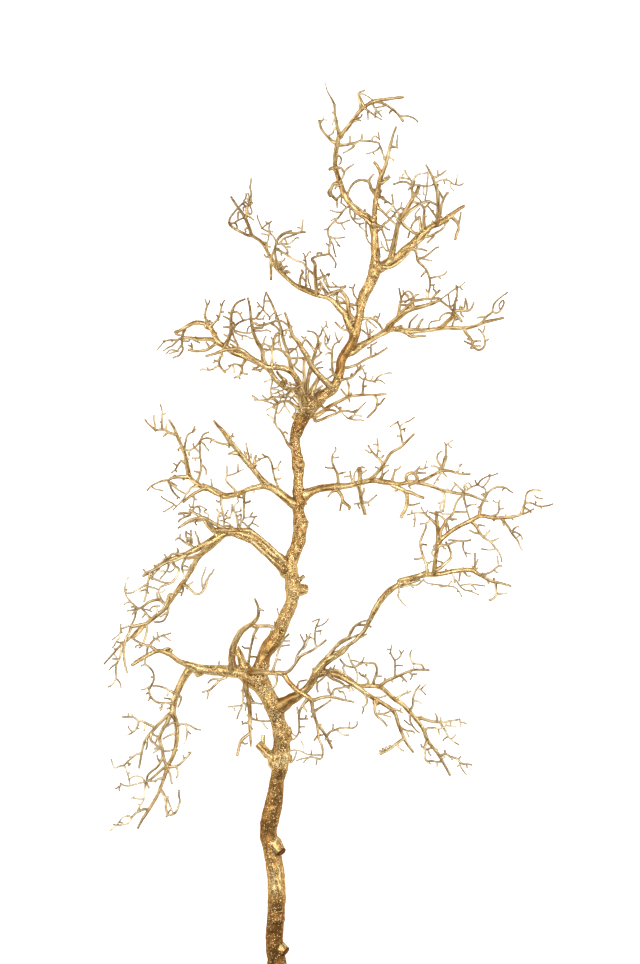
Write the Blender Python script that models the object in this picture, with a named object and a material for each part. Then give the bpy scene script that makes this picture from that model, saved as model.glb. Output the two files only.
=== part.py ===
"""A gold-painted manzanita branch, cut and lying down on a flat surface, seen from above.

Frame: +X to the right, +Y from the sawn butt towards the tips, +Z up off the surface. The origin
is under the middle of the branch, on the surface. The wood is one grown piece, split here at its
forks: each limb is a tapering tube, its root cut to the round of the limb that it grows from.
"""

import bmesh
import bpy
import numpy as np

MM = 0.001
GAP = 0.0003                    # between limbs that meet, in metres
FAT = 0.34                      # how much wider than a limb its cutter is, in millimetres of radius
STRAIGHT = 2.5                  # straight run on each side of a cross-cut joint, in millimetres
STEP_BASE = 8.0                 # millimetres between the rings of a thin twig
STEP_SHARE = 0.8                # and this much more for each millimetre of radius
EIGHT_SIDED = 4.6               # a limb thicker than this radius in millimetres has eight sides, not six
WELD = 0.00001                  # how close a cap's corner is to its tube's, in metres
SHARP = 0.9                     # edges that turn more than this, in radians, stay sharp
PAINT_METALLIC = 0.55
PAINT_ROUGHNESS = 0.42

# The limbs are drawn full size on a sheet 640 wide and 964 tall: a place is so many millimetres
# right of and below its top left corner. The sheet lies level at SHEET_HEIGHT, and it is looked at
# from EYE_HEIGHT above that, straight over its middle.
SHEET_MIDDLE = np.array((320.0, 482.0))
SHEET_HEIGHT = 60.0
EYE_HEIGHT = 3615.0
ORIGIN = np.array((325.3, 542.7))       # the place on the sheet that stands over the part's origin

# Wood colours: the thick wood is bronze brown under its gold, and the thin wood is paler.
THICK_COLOUR = (0.26, 0.13, 0.03, 1.0)
THIN_COLOUR = (0.52, 0.34, 0.12, 1.0)
THICK_RADIUS = 8.0

# Each limb: its name; what it follows end to end or grows out of, and any other limb that its root
# is cut round; its radii and its heights above the surface, spread evenly over the points of its
# route; and its route across the sheet. All are millimetres.
LIMBS = (
    ("trunk_foot", "", "9.5 9.6 9 8 8.6 8.6 8.3 7.3 8.7 7.6 7 8.7 7.5 6.9 7.9 7.8",
     "9.5 9.7 10 12 14 17 20 22 24 27 30 33 36 39 41 42",
     "276.5,999 276.5,982 276.5,962 274,940 276,915 277,885 272,853 268,833 270,818 275,797 277.5,778"
     " 281,757 281.5,738 277.5,718 273,706 269.5,699"),
    ("trunk_bend", "after trunk_foot", "7.8 8.2 9.2 7 6.6 7 7 6.6 6.2 6.4 6.6 6.8 7.4 6.2",
     "42 43 44 46 48 50 51 53 54 55 56 57 58 60",
     "269.5,699 264,690 258,680 261,668 264,655 270,645 277,635 284,620 289,609 292,600 293,590"
     " 292.5,578 290,568 293,556"),
    ("trunk_middle", "after trunk_bend", "6.2 6.2 6 6 5.6 5.9 4.8", "60 61 62 63 64 65 66",
     "293,556 296.5,548 299.5,535 300.5,522 297.8,510 299,500 298,488"),
    ("trunk_upper", "after trunk_middle", "4.8 4.7 5.2 5 5.1 5.8 6.4 6.8 6.8 6.2 5.4",
     "66 67 68 69 70 71 72 73 75 76 77",
     "298,488 298,475 298,464 296,453 295,440 297,431 301,422 306,412 312,405 319,399 325,394"),
    ("crown_stem", "after trunk_upper", "5.4 4.8 4.4 4.3 4.2 4.4 4.5 4.3 4", "77 78 80 81 82 82 83 84 84",
     "325,394 332,389 337,381 340,371 341.5,361 346,352 352,343 354.5,335 357,326"),
    ("crown_fork", "after crown_stem", "4 3.9 4.3 4.7 5 5.3 5.1 4.2", "84 85 86 87 88 89 90 90",
     "357,326 359.5,316 361,306 363,297 368,288 372,279 374.5,270 375,261"),
    ("leader_base", "after crown_fork", "4.2 3.6 3.5 3.4 3", "90 91 92 92 92",
     "375,261 374.7,250 374.5,238 373.5,228 371.5,222"),
    ("low_left_limb", "on trunk_bend", "6.4 6 5.6 5.5 5 4.2 4", "45 43 40 37 34 31 30",
     "257,680 250,677 240,672 225,671 208,670 196,668 190,669"),
    ("low_left_hook", "after low_left_limb", "4 3.6 3.3 3 2.9 2.3 2.2 2.2 2.1 2 1.8 1.7 1.6 1.4 1.2",
     "30 28 26 24 23 20 17 14 11 9 7 5 3.5 2.2 1.1",
     "190,669 184,678 178,690 174,702 173,713 176,721 177,733 176,745 173,756 168,766 163,781"
     " 157,796 148,811 142,820 138,828"),
    ("low_left_rise", "on low_left_limb low_left_hook", "3.4 3 2.7 2.5 2.1 2 1.9 1.7",
     "31 37 42 46 49 52 54 56",
     "197,668 186,664 177,660 168,653 158,651 150,654 141,659 132,665"),
    ("low_left_outer", "on low_left_hook", "1.9 1.7 1.4 1.1", "23 19 15 10 7",
     "173,713 166,717 158,725 150,734 144,743 141,757 139,768"),
    ("low_left_curl", "on low_left_limb", "3.6 3.4 3.2 2.9 2.6 2.3 1.8 1.4 1.2",
     "38 48 58 68 75 80 86 91 95",
     "234,671 232,661 233,648 240,633 247,627 253,623 258,616 258,607 255,599"),
    ("front_hanger", "on low_left_limb trunk_bend", "2.5 2.3 2.1 1.9 1.6 1.3", "41 54 62 69 75 80",
     "244,674 246,688 249,702 250,716 250,731 251,746"),
    ("front_limb", "on low_left_limb trunk_bend",
     "2.8 2.5 2.4 2.3 2.4 2.3 2.2 2.1 2 1.8 1.6 1.5 1.3", "42 56 64 70 73 75 77 78 78 76 73 70 66",
     "249,676 252,672 261,672 272,673 283,674 289,682 297,690 305,695 311,700 313,710 317,723"
     " 325,734 332,748"),
    ("front_limb_rise", "on front_limb", "1.9 1.7 1.5 1.4 1.3 1.2 1.1", "73 80 85 89 93 96 98",
     "282,674 289,671 295,664 301,656 311,651 320,645 326,640"),
    ("right_limb", "on trunk_foot",
     "6 5.4 5 4.4 3.8 3.6 3.9 4.3 4 2.8 2.2 2 2 2 2.2 2.8 2.9 2.8 2.5",
     "40 44 48 52 56 59 62 65 67 70 73 76 79 83 87 91 95 99 102",
     "276,709 285,703 293,698 300,694 306,689 311,683 315,676 320,668 326,661 335,656 343,652"
     " 349,645 356,640 364,631 369,622 373,614 379,603 388,592 398,585"),
    ("right_limb_reach", "after right_limb", "2.5 2.4 2.3 2.3 2.3 2.1 1.8 1.6 1.4 1.2",
     "102 105 108 110 111 112 112 111 110 108",
     "398,585 412,579 425,575 440,574 455,571 470,570 480,575 491,581 500,583 511,586"),
    ("right_limb_spire", "on right_limb_reach", "2.2 2.2 2.1 2 1.8 1.5", "109 116 121 126 130 133",
     "434,574 435,562 437,549 438,535 437,522 436,512"),
    ("right_limb_claw", "on right_limb_spire", "2 2.1 2.1 2 1.9 1.8 1.7 1.4 1.2 1 1 .9 .9",
     "123 124 125 126 126 125 124 122 120 118 116 114 112",
     "438,543 444,537 456,528 470,521 481,516 495,518 510,517 521,514 525,504 531,503 538,506"
     " 546,506 553,504"),
    ("low_right_limb", "on right_limb", "3.2 3 2.8 2.6 2.4 2.2 2.1 2 1.8 1.6 1.3",
     "64 62 59 56 52 48 44 40 36 31 27",
     "318,672 330,673 341,677 350,682 360,689 370,696 382,703 394,712 399,726 405,740 413,752"),
    ("low_right_foot", "on low_right_limb", "2.3 2.3 2.3 2.3 2.2 2.1 2 1.8 1.6 1.4 1.2",
     "54 45 38 32 27 21 16 11 7 3.5 1.2",
     "356,686 366,686 380,687 392,697 404,706 415,718 423,729 428,741 436,751 443,762 450,775"),
    ("low_right_fork", "on low_right_foot", "1.9 1.8 1.5 1.3 1.1", "39 46 52 58 62",
     "379,687 387,681 400,675 414,670 429,670"),
    ("mid_right_limb", "on trunk_middle",
     "4.6 4 3.6 3.4 3 2.7 2.6 2.5 2.2 2 1.8 1.7 1.6 1.4 1.1",
     "65 63 60 57 53 49 46 43 39 35 29 22 15 8 1",
     "298,499 308,493 318,489 330,487 345,486 360,483 372,480 384,482 398,484 412,482 428,485"
     " 442,490 456,493 470,495 485,501"),
    ("mid_right_fork", "on mid_right_limb", "1.9 1.8 1.7 1.6 1.4 1.2 1.1", "33 40 50 58 62 66 70",
     "417,483 424,480 433,475 441,471 450,471 460,474 470,474"),
    ("mid_right_spur", "on mid_right_limb", "2.1 1.9 1.7 1.5 1.4 1.2 1.1", "47 57 66 73 79 84 88",
     "370,481 378,472 385,462 391,453 401,447 409,439 414,434"),
    ("mid_left_limb", "on trunk_bend", "5.6 5.6 5.4 5.2 5 4.8 4.6 4.2 3.6 3.6",
     "58 61 65 69 73 77 80 82 84 84",
     "291,569 284,565 276,558 268,551 260,544 252,538 244,535 236,533 227,533 217,538"),
    ("mid_left_upper", "after mid_left_limb", "3.6 3.2 3 2.8 2.4 2 1.8 1.6 1.3",
     "84 87 90 92 94 96 97 98 98",
     "217,538 208,543 198,548 190,552 182,556 172,559 162,564 152,571 143,576"),
    ("mid_left_drape", "on mid_left_limb mid_left_upper",
     "2.6 2.6 2.5 2.5 2.5 2.5 2.4 2.3 2.2 2 1.7 1.5 1.3 1.1 .9",
     "82 78 74 71 68 64 60 55 50 44 38 32 26 20 14",
     "222,536 213,545 204,552 197,559 192,569 184,581 175,594 166,607 156,616 146,624 137,631"
     " 130,638 120,646 112,655 104,664"),
    ("mid_left_fan", "on mid_left_limb", "2.2 2.1 1.9 1.7 1.5 1.4 1.3", "84 92 98 104 108 112 114",
     "229,533 221,527 213,523 205,518 199,518 190,520 180,527"),
    ("high_left_limb", "on trunk_middle", "4 3.9 3.8 3.7 3.5 2.7 2.6 2.7 3 2.8 2.7 2.6 2.5",
     "65 66 67 67 67 66 64 61 57 53 49 45 41",
     "298,506 291,502 283,496 275,490 267,486 257,487 247,490 237,494 226,496 217,493 208,488"
     " 199,485 190,477"),
    ("high_left_prong", "after high_left_limb", "2.5 2.2 2 1.9 1.7 1.4 1.2", "41 34 28 22 15 8 1.1",
     "190,477 187,465 185,455 182,447 178,438 174,428 169,420"),
    ("high_left_spear", "on high_left_limb", "2.9 2.8 2.6 2.5 2.4 2.3 2.3 2.1 1.7 1.2",
     "67 72 78 84 88 92 96 100 103 106",
     "268,486 262,480 254,470 246,461 240,454 235,447 229,440 222,430 218,426 214,421"),
    ("creeper", "on trunk_upper", "2.6 2.3 2 1.9 1.8 1.8 1.7 1.6 1.3 1.1 1 .9",
     "70 76 80 84 87 90 92 94 97 100 103 105",
     "294,451 288,444 285,438 281,431 276,425 275,418 276,411 278,403 274,399 266,400 258,400"
     " 252,396"),
    ("crown_left_limb", "on trunk_upper",
     "3.6 3.4 3.3 3.3 3.3 3.3 3.2 3.2 3.2 3.1 3 3 3 3 2.8 2.6 2.4 2.2 2.1 2 1.9 1.6 1.3",
     "76 79 81 83 85 87 89 91 92 94 95 96 96 95 94 93 92 91 89 86 83 80 78",
     "308,400 302,395 296,392 290,390 284,387 278,382 273,376 270,371 265,366 257,362 249,358"
     " 241,355 233,352 226,347 219,343 216,338 213,332 210,327 203,323 194,323 186,327 179,331"
     " 175,332"),
    ("crown_left_over", "on trunk_upper crown_left_limb",
     "2.8 2.8 2.8 2.8 2.8 2.7 2.6 2.5 2 1.9 1.8 1.8 1.7 1.6 1.4 1.2",
     "77 85 91 96 100 103 105 106 107 108 109 110 111 112 113 114",
     "307,401 303,392 299,383 295,376 290,371 283,368 275,367 267,367 259,362 251,357 245,352"
     " 239,349 231,349 222,351 214,354 206,356"),
    ("crown_left_far", "on crown_left_limb", "2 2 1.9 1.7 1.5 1.1 .9 .8 .7",
     "94 86 80 74 69 66 63 61 58",
     "219,342 210,339 200,339 190,338 182,338 177,340 170,340 164,342 157,350"),
    ("crown_left_spire", "on crown_left_limb", "2 1.8 1.6 1.5 1.4 1.2 1",
     "95 102 108 113 117 121 124",
     "225,346 229,338 231,330 231,320 232,311 237,303 245,299"),
    ("crown_left_spike", "on crown_left_limb", "2.2 2.1 2 1.9 1.7 1.5 1.3 1.1",
     "92 95 98 103 108 114 118 122",
     "266,367 263,358 262,350 257,341 253,331 251,318 250,308 248,298"),
    ("inner_spike", "on crown_stem", "3 2.8 2.7 2.6 2.5 2.4 2.3 2.1 1.9 1.6 1.4 1.2",
     "80 86 91 95 99 103 107 110 113 116 119 122",
     "333,388 326,382 319,375 313,368 309,361 306,355 302,349 298,342 293,336 290,328 288,321"
     " 285,313"),
    ("inner_spire", "on trunk_upper", "2.4 2.3 2.2 2.1 2 1.9 1.8 1.6 1.5 1.4 1.3 1.2 1",
     "74 68 63 58 54 50 47 44 40 37 34 31 28",
     "303,407 299,397 298,386 295,377 291,367 289,358 287,350 284,342 281,329 278,320 274,309"
     " 270,300 266,292"),
    ("inner_arch", "on trunk_upper", "2.4 2.2 2 1.9 1.8 1.6 1.4 1.2 1 .9",
     "70 67 64 61 59 56 53 51 49 47",
     "310,404 307,392 308,380 310,370 313,360 316,350 318,342 317,336 313,332 307,331"),
    ("inner_fork", "on crown_stem", "1.7 1.5 1.3 1.2 .9 .8", "81 88 96 103 108 111",
     "338,378 333,373 332,363 332,353 334,345 340,341"),
    ("crown_right_low", "on trunk_upper", "2.4 2.3 2.1 1.9 1.7 1.6 1.4 1.4 1.3 1.3",
     "72 68 64 60 57 55 53 50 46 42",
     "307,413 314,416 322,412 330,406 338,402 346,398 352,396 362,395 374,395 386,394"),
    ("peak_left_limb", "on crown_stem crown_fork",
     "3.8 3.5 3.4 3.3 3.2 3.1 3 2.8 2.7 2.7 2.8 2.9 3 3",
     "84 86 87 88 88 88 87 85 82 79 75 71 67 63",
     "355,335 350,327 347,320 344,313 339,308 334,302 328,298 320,296 311,293 302,289 294,284"
     " 287,278 281,272 276,266"),
    ("peak_left_tip", "after peak_left_limb", "3 2.5 2.2 2 1.9 1.8 1.8 1.6 1.3 1.2",
     "63 57 50 43 37 30 23 15 7 1.1",
     "276,266 272,260 268,253 264,245 259,240 252,235 249,227 244,216 237,206 231,197"),
    ("peak_left_spray", "on peak_left_limb peak_left_tip", "2.1 2 1.9 1.7 1.5 1.4 1.3 1.3",
     "66 73 79 85 89 92 95 98",
     "280,271 276,259 275,249 277,241 281,236 287,233 294,233 305,232"),
    ("peak_left_post", "on peak_left_limb", "2.2 2 1.8 1.6 1.4 1.2 1.2",
     "84 92 100 106 110 113 115",
     "318,296 316,285 315,273 315,264 312,259 318,256 329,254"),
    ("leader_left", "after leader_base",
     "3 2.8 2.8 2.9 3 2.9 2.6 2.4 2.3 2.3 2.2 2.2 1.7 1.4 1.3 .9 .7 .6",
     "92 93 93 93 92 91 89 87 84 80 77 73 67 60 53 47 42 36",
     "371.5,222 366,217 359,212 352,206 347,199 343,191 340,183 337,174 335,165 336,153 337,145"
     " 339,135 337,125 335,114 334,104 330,96 327,90 325,82"),
    ("leader_left_arm", "on leader_left", "2.1 2 2 1.9 1.9 1.9 1.7 1.5",
     "74 80 85 90 94 97 100 102",
     "339,138 346,129 353,120 360,111 367,105 375,101 388,99 403,97"),
    ("leader_left_droop", "on leader_left_arm", "1.4 1.4 1.4 1.4 1.4", "96 91 87 83 80",
     "373,102 382,103 391,108 398,114 403,121"),
    ("leader_right", "on leader_base leader_left", "2.6 2.5 2.5 2.4 2.3 2.3 2 2 1.8 1.5 1.3 1.2",
     "92 97 100 103 106 109 112 115 118 121 125 128",
     "374,229 374.5,219 375,208 376.5,197 378.5,187 380,179 383,172 386,164 388,155 391,143"
     " 393,135 396,127"),
    ("peak_right_limb", "on crown_fork",
     "4 3.8 3.6 3.5 3.5 3.6 3.7 3.3 3 2.7 2.6 2.6 1.9 1.7",
     "89 89 88 88 87 86 85 84 83 82 81 80 78 76",
     "374,271 384,265 391,260 398,256 404,250 411,245 418,238 424,232 430,227 437,224 443,221"
     " 449,217 456,211 464,206"),
    ("peak_right_spire", "on peak_right_limb", "3 3 2.8 2.3 2.2 2.1 2.1 2 1.4 1.2",
     "88 94 100 106 111 115 118 121 124 127",
     "391,260 393,249 395,239 397,229 400,220 405,212 409,205 413,197 412,190 413,184"),
    ("peak_right_mast", "on peak_right_limb", "2.1 1.9 1.8 1.8 1.7 1.5 1.2 1",
     "83 90 97 103 108 112 115 118",
     "436,224 438,217 438,208 438,199 437,190 434,181 430,172 426,165"),
    ("peak_right_hanger", "on peak_right_limb", "1.6 1.4 1.4 1.3 1.2 1.1 1 1",
     "86 78 72 67 63 60 58 57",
     "409,246 416,252 418,261 425,268 429,276 430,285 428,295 426,300"),
    ("crown_right_limb", "on crown_stem",
     "3.6 3.6 3.5 3.5 3.4 3.2 2.7 2.4 2.3 2.3 2.2 2.1 1.9 1.7 1.6 1.4 1.3",
     "82 78 74 70 66 61 57 53 49 44 39 33 26 20 13 7 1.2",
     "350,346 358,342 366,340 374,336 382,332 391,329 399,329 408,332 418,331 430,330 441,328"
     " 453,328 465,328 475,326 485,322 494,320 503,318"),
    ("crown_right_rise", "on crown_right_limb", "3 2.8 2.6 2.5 2.2 1.9 1.6 1.4",
     "64 71 77 82 87 91 94 96",
     "386,330 392,323 398,318 404,313 412,309 424,306 433,303 440,300"),
    ("crown_right_crest", "on crown_right_limb", "2.1 2.1 2.1 1.8 1.3 1.1 1",
     "39 47 54 60 66 71 76",
     "441,328 447,322 452,317 454,311 455,303 457,295 457,286"),
    ("crown_right_claw", "on crown_right_limb", "1.4 1.3 1.2 1.1 .9 .8", "15 24 32 38 43 48",
     "482,323 486,317 492,312 494,304 500,298 508,292"),
)


def numbers(text):
    """The numbers of a line of words."""
    return np.array([float(word) for word in text.split()])


def places(text):
    """Rows of x and y from a line of x,y pairs."""
    return np.array([[float(word) for word in pair.split(",")] for pair in text.split()])


def spread(values, count):
    """The values at `count` even steps from the first of them to the last."""
    return np.interp(np.linspace(0, 1, count), np.linspace(0, 1, len(values)), values)


def lifted(route, heights, radii):
    """Rows of x, y, z and radius, in millimetres in the part's frame. A point that is nearer the
    eye than the sheet moves in towards the sheet's middle, so that it still covers its place."""
    closer = 1 - (heights - SHEET_HEIGHT) / EYE_HEIGHT
    across = SHEET_MIDDLE + (route - SHEET_MIDDLE) * closer[:, None] - ORIGIN
    return np.column_stack((across[:, 0], -across[:, 1], heights, radii))


def smooth(rows, step):
    """Rows a step apart along a Catmull-Rom curve through the given ones."""
    ends = np.vstack((2 * rows[0] - rows[1], rows, 2 * rows[-1] - rows[-2]))
    a, b, c, d = (ends[i:len(ends) - 3 + i, None] for i in range(4))
    t = np.linspace(0, 1, 12, endpoint=False)[None, :, None]
    cubed = (3 * b - a - 3 * c + d) * t**3
    fine = (2 * b + (c - a) * t + (2 * a - 5 * b + 4 * c - d) * t**2 + cubed) / 2
    fine = np.vstack((fine.reshape(-1, 4), rows[-1]))
    runs = np.linalg.norm(np.diff(fine[:, :3], axis=0), axis=1)
    far = np.concatenate(([0], np.cumsum(runs)))
    stops = np.linspace(0, far[-1], max(3, round(far[-1] / step) + 1))
    return np.column_stack([np.interp(stops, far, fine[:, i]) for i in range(4)])


def square_end(rows, joint, along):
    """The rows with their last one drawn back from the joint by half the gap, after a short run
    that lies along the line that both limbs share there, so that the two cut faces are parallel."""
    rows = rows.copy()
    rows[-1, :3] = joint - along * GAP / MM / 2
    before = rows[-1].copy()
    before[:3] = joint - along * STRAIGHT
    return np.vstack((rows[:-1], before, rows[-1]))


def nearest(rows, place):
    """The row among `rows` that is closest to the place, in the sheet's plane."""
    return rows[np.argmin(np.linalg.norm(rows[:, :2] - place[:2], axis=1))]


def centre_lines():
    """Each limb's centre line, by name: rows of x, y, z and radius in millimetres."""
    drawn = {}
    for name, start, radii, heights, route in LIMBS:
        route = places(route)
        count = len(route)
        drawn[name] = lifted(route, spread(numbers(heights), count), spread(numbers(radii), count))
    lines = {}
    for name, start, *_ in LIMBS:
        rows = drawn[name]
        how, *others = start.split() or [""]
        if how == "on":
            rows[0, :3] = nearest(smooth(drawn[others[0]], 1.0), rows[0])[:3]
        lines[name] = smooth(rows, STEP_BASE + STEP_SHARE * rows[:, 3].mean())
    for name, start, *_ in LIMBS:
        how, *others = start.split() or [""]
        if how == "after":
            joint = drawn[name][0, :3]
            along = drawn[name][1, :3] - drawn[others[0]][-2, :3]
            along /= np.linalg.norm(along)
            lines[others[0]] = square_end(lines[others[0]], joint, along)
            lines[name] = square_end(lines[name][::-1], joint, -along)[::-1]
    return lines


def tube(name, rows, wider, collection):
    """A closed tube mesh round a centre line, each ring's radius that much wider than the limb's."""
    curve = bpy.data.curves.new(name, "CURVE")
    curve.dimensions = "3D"
    curve.bevel_depth = MM
    curve.bevel_resolution = 2 if rows[:, 3].max() > EIGHT_SIDED else 1
    curve.use_fill_caps = True
    spline = curve.splines.new("POLY")
    spline.points.add(len(rows) - 1)
    for point, (x, y, z, radius) in zip(spline.points, rows):
        point.co = (x * MM, y * MM, z * MM, 1)
        point.radius = radius + wider
    drawing = bpy.data.objects.new(name + "_curve", curve)
    bpy.context.scene.collection.objects.link(drawing)
    bpy.context.view_layer.update()
    mesh = bpy.data.meshes.new_from_object(drawing.evaluated_get(bpy.context.evaluated_depsgraph_get()))
    made = bpy.data.objects.new(name, mesh)
    made.matrix_world = drawing.matrix_world
    bpy.data.objects.remove(drawing)
    caps = bmesh.new()
    caps.from_mesh(mesh)
    bmesh.ops.remove_doubles(caps, verts=caps.verts, dist=WELD)
    bmesh.ops.recalc_face_normals(caps, faces=caps.faces)
    caps.to_mesh(mesh)
    caps.free()
    mesh.shade_smooth()
    mesh.set_sharp_from_angle(angle=SHARP)
    mesh.materials.clear()
    collection.objects.link(made)
    return made


def wood(name, radius):
    """The painted wood of one limb, between the thin wood's colour and the thick wood's."""
    material = bpy.data.materials.new(name)
    material.use_nodes = True
    paint = material.node_tree.nodes["Principled BSDF"]
    thick = min(1.0, radius / THICK_RADIUS)
    colour = [thin + (full - thin) * thick for thin, full in zip(THIN_COLOUR, THICK_COLOUR)]
    paint.inputs["Base Color"].default_value = colour
    paint.inputs["Metallic"].default_value = PAINT_METALLIC
    paint.inputs["Roughness"].default_value = PAINT_ROUGHNESS
    return material


def cut_root(limb, cutters):
    """Cuts the root of a limb to the round of each limb that it grows from."""
    for cutter in cutters:
        cut = limb.modifiers.new("root cut", "BOOLEAN")
        cut.operation = "DIFFERENCE"
        cut.solver = "EXACT"
        cut.object = cutter


def new_collection(name):
    """An empty collection in the scene."""
    made = bpy.data.collections.new(name)
    bpy.context.scene.collection.children.link(made)
    return made


def main():
    for thing in list(bpy.data.objects):
        bpy.data.objects.remove(thing)
    branch = new_collection("manzanita_branch")
    helpers = new_collection("cutters")
    lines = centre_lines()
    cutters = {}
    for name, start, *_ in LIMBS:
        limb = tube(name, lines[name], 0.0, branch)
        limb.data.materials.append(wood(name + "_paint", lines[name][:, 3].mean()))
        how, *others = start.split() or [""]
        if how != "on":
            continue
        for other in others:
            if other not in cutters:
                cutters[other] = tube(other + "_cutter", lines[other], FAT, helpers)
                cutters[other].hide_render = True
                cutters[other].display_type = "WIRE"
        cut_root(limb, [cutters[other] for other in others])


main()
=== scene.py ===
"""A dry manzanita branch, painted gold and dusted with glitter, lying on a pale floor.

The branch is drawn on a sheet that lies under it. Every centre line is a row of points in
millimetres right of and below the sheet's corner, with its height over the floor and its radius.
Round each line a tube of bark is worked out as one grid of points.
"""
import math
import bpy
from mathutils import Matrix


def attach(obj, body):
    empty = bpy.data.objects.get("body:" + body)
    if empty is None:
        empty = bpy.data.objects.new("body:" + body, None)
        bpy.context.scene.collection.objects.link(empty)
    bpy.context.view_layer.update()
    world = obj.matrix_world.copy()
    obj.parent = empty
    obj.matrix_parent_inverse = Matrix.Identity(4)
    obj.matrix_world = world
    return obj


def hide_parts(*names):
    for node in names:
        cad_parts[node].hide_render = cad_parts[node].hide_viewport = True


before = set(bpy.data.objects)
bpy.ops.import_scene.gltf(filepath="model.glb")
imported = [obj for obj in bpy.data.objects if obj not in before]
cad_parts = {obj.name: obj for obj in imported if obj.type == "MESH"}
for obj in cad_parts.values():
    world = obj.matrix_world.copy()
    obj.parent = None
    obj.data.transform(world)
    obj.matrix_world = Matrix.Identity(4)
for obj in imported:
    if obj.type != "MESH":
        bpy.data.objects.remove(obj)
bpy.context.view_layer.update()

from types import SimpleNamespace

import bpy
import numpy as np

# %% [markdown]
# ## The limbs
# A manzanita limb is never straight: it bends at every old fork. Each limb could be a Bezier curve set
# by hand in the viewport, but a short row of points is easier to read, to check and to change. A row
# gives the limb's name, the limb it starts on or carries on from, its radii, which FULLER scales
# later, and its heights over the floor, both spread evenly along it, and its route across the sheet.

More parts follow.
